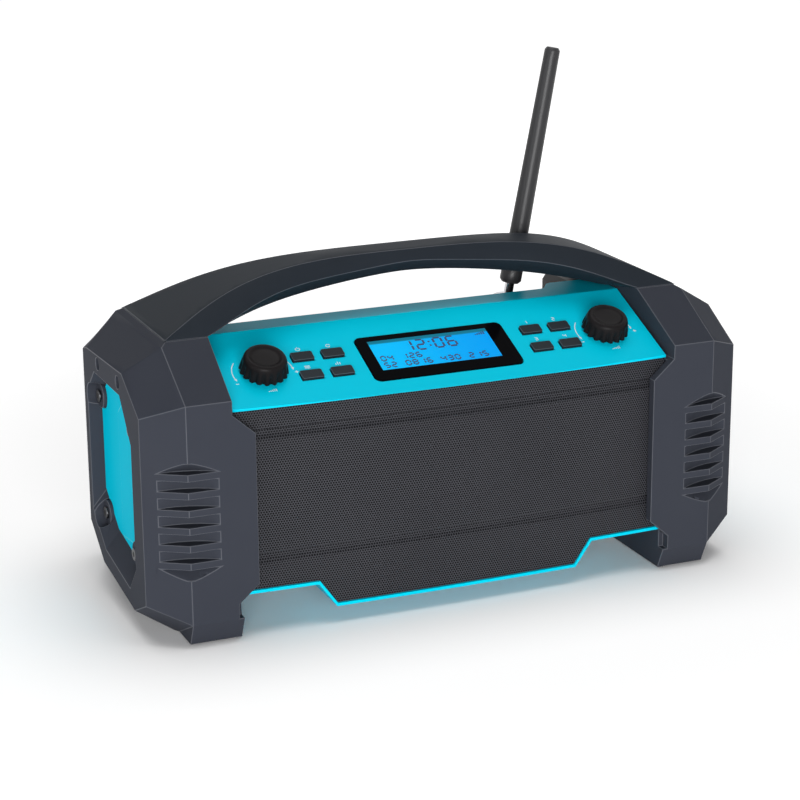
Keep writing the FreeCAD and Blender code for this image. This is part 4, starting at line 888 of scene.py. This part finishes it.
# Floor, backdrop and lights
# The floor's glow is low near the object and rises outwards: painted shade round the object, and far off
# it makes up for the lamps' falloff
studio = {
    "floorWhite": 0.90, "nearShadeGlow": 0.06, "farGlow": 0.80, "farFrom": 0.15, "farTo": 1.2,
    "worldLight": 0.12, "floorHalf": 6.0,
}


# One for rays from the camera, also by way of a reflection or a clear material, and else zero
def shownRays(tree):
    path = addNode(tree, "ShaderNodeLightPath")
    shown = mathNode(tree, "MAXIMUM", path.outputs["Is Camera Ray"], path.outputs["Is Glossy Ray"])
    return mathNode(tree, "MAXIMUM", shown, path.outputs["Is Transmission Ray"])


def makeFloor(values):
    mesh = bpy.data.meshes.new("studioFloor")
    half = values["floorHalf"]
    corners = [(-half, -half, 0.0), (half, -half, 0.0), (half, half, 0.0), (-half, half, 0.0)]
    mesh.from_pydata(corners, [], [(0, 1, 2, 3)])
    floor = bpy.data.objects.new("studioFloor", mesh)
    bpy.context.scene.collection.objects.link(floor)
    material = bpy.data.materials.new("studioWhite")
    material.use_nodes = True
    tree = material.node_tree
    tree.nodes.clear()
    output = addNode(tree, "ShaderNodeOutputMaterial")
    white = addNode(tree, "ShaderNodeBsdfDiffuse")
    white.inputs["Color"].default_value = (values["floorWhite"],) * 3 + (1.0,)
    glow = addNode(tree, "ShaderNodeEmission")
    place = addNode(tree, "ShaderNodeTexCoord")
    # Glow weakest near the object and rising with distance: painted shade round the object
    far = addNode(tree, "ShaderNodeMapRange", interpolation_type="SMOOTHSTEP")
    tree.links.new(lengthNode(tree, place.outputs["Object"]), far.inputs["Value"])
    far.inputs["From Min"].default_value = values["farFrom"]
    far.inputs["From Max"].default_value = values["farTo"]
    far.inputs["To Min"].default_value = values["nearShadeGlow"]
    far.inputs["To Max"].default_value = values["farGlow"]
    strength = mathNode(tree, "MULTIPLY", shownRays(tree), far.outputs["Result"])
    tree.links.new(strength, glow.inputs["Strength"])
    both = addNode(tree, "ShaderNodeAddShader")
    tree.links.new(white.outputs["BSDF"], both.inputs[0])
    tree.links.new(glow.outputs["Emission"], both.inputs[1])
    tree.links.new(both.outputs["Shader"], output.inputs["Surface"])
    mesh.materials.append(material)


def makeWorld(values):
    world = bpy.data.worlds.new("studioWorld")
    bpy.context.scene.world = world
    world.use_nodes = True
    tree = world.node_tree
    background = tree.nodes["Background"]
    background.inputs["Color"].default_value = (1.0, 1.0, 1.0, 1.0)
    extra = mathNode(tree, "MULTIPLY", shownRays(tree), 1.0 - values["worldLight"])
    tree.links.new(mathNode(tree, "ADD", extra, values["worldLight"]), background.inputs["Strength"])


lampAim = (0.0, 0.0, 0.09)
lamps = {
    "keyLamp": {"place": (-0.7, -2.1, 0.25), "size": 1.2, "power": 58.0, "floorOnly": False},
    "leftLamp": {"place": (-1.9, -0.7, 0.4), "size": 1.0, "power": 4.0, "floorOnly": False},
    "topLamp": {"place": (0.1, 0.1, 2.0), "size": 1.4, "power": 12.0, "floorOnly": False},
    "floorLamp": {"place": (0.0, 0.02, 1.6), "size": 1.7, "power": 17.0, "floorOnly": True},
}


def makeLamp(name, values):
    data = bpy.data.lights.new(name, "AREA")
    data.energy = values["power"]
    data.size = values["size"]
    lamp = bpy.data.objects.new(name, data)
    bpy.context.scene.collection.objects.link(lamp)
    lamp.location = values["place"]
    aim = Vector(lampAim) - Vector(values["place"])
    lamp.rotation_euler = aim.to_track_quat("-Z", "Y").to_euler()
    if values["floorOnly"]:
        lit = bpy.data.collections.new(name + "Receivers")
        lit.objects.link(bpy.data.objects["studioFloor"])
        lamp.light_linking.receiver_collection = lit


makeFloor(studio)
makeWorld(studio)
for lampName, values in lamps.items():
    makeLamp(lampName, values)
bpy.context.scene.view_settings.view_transform = "Standard"
print("studio made")
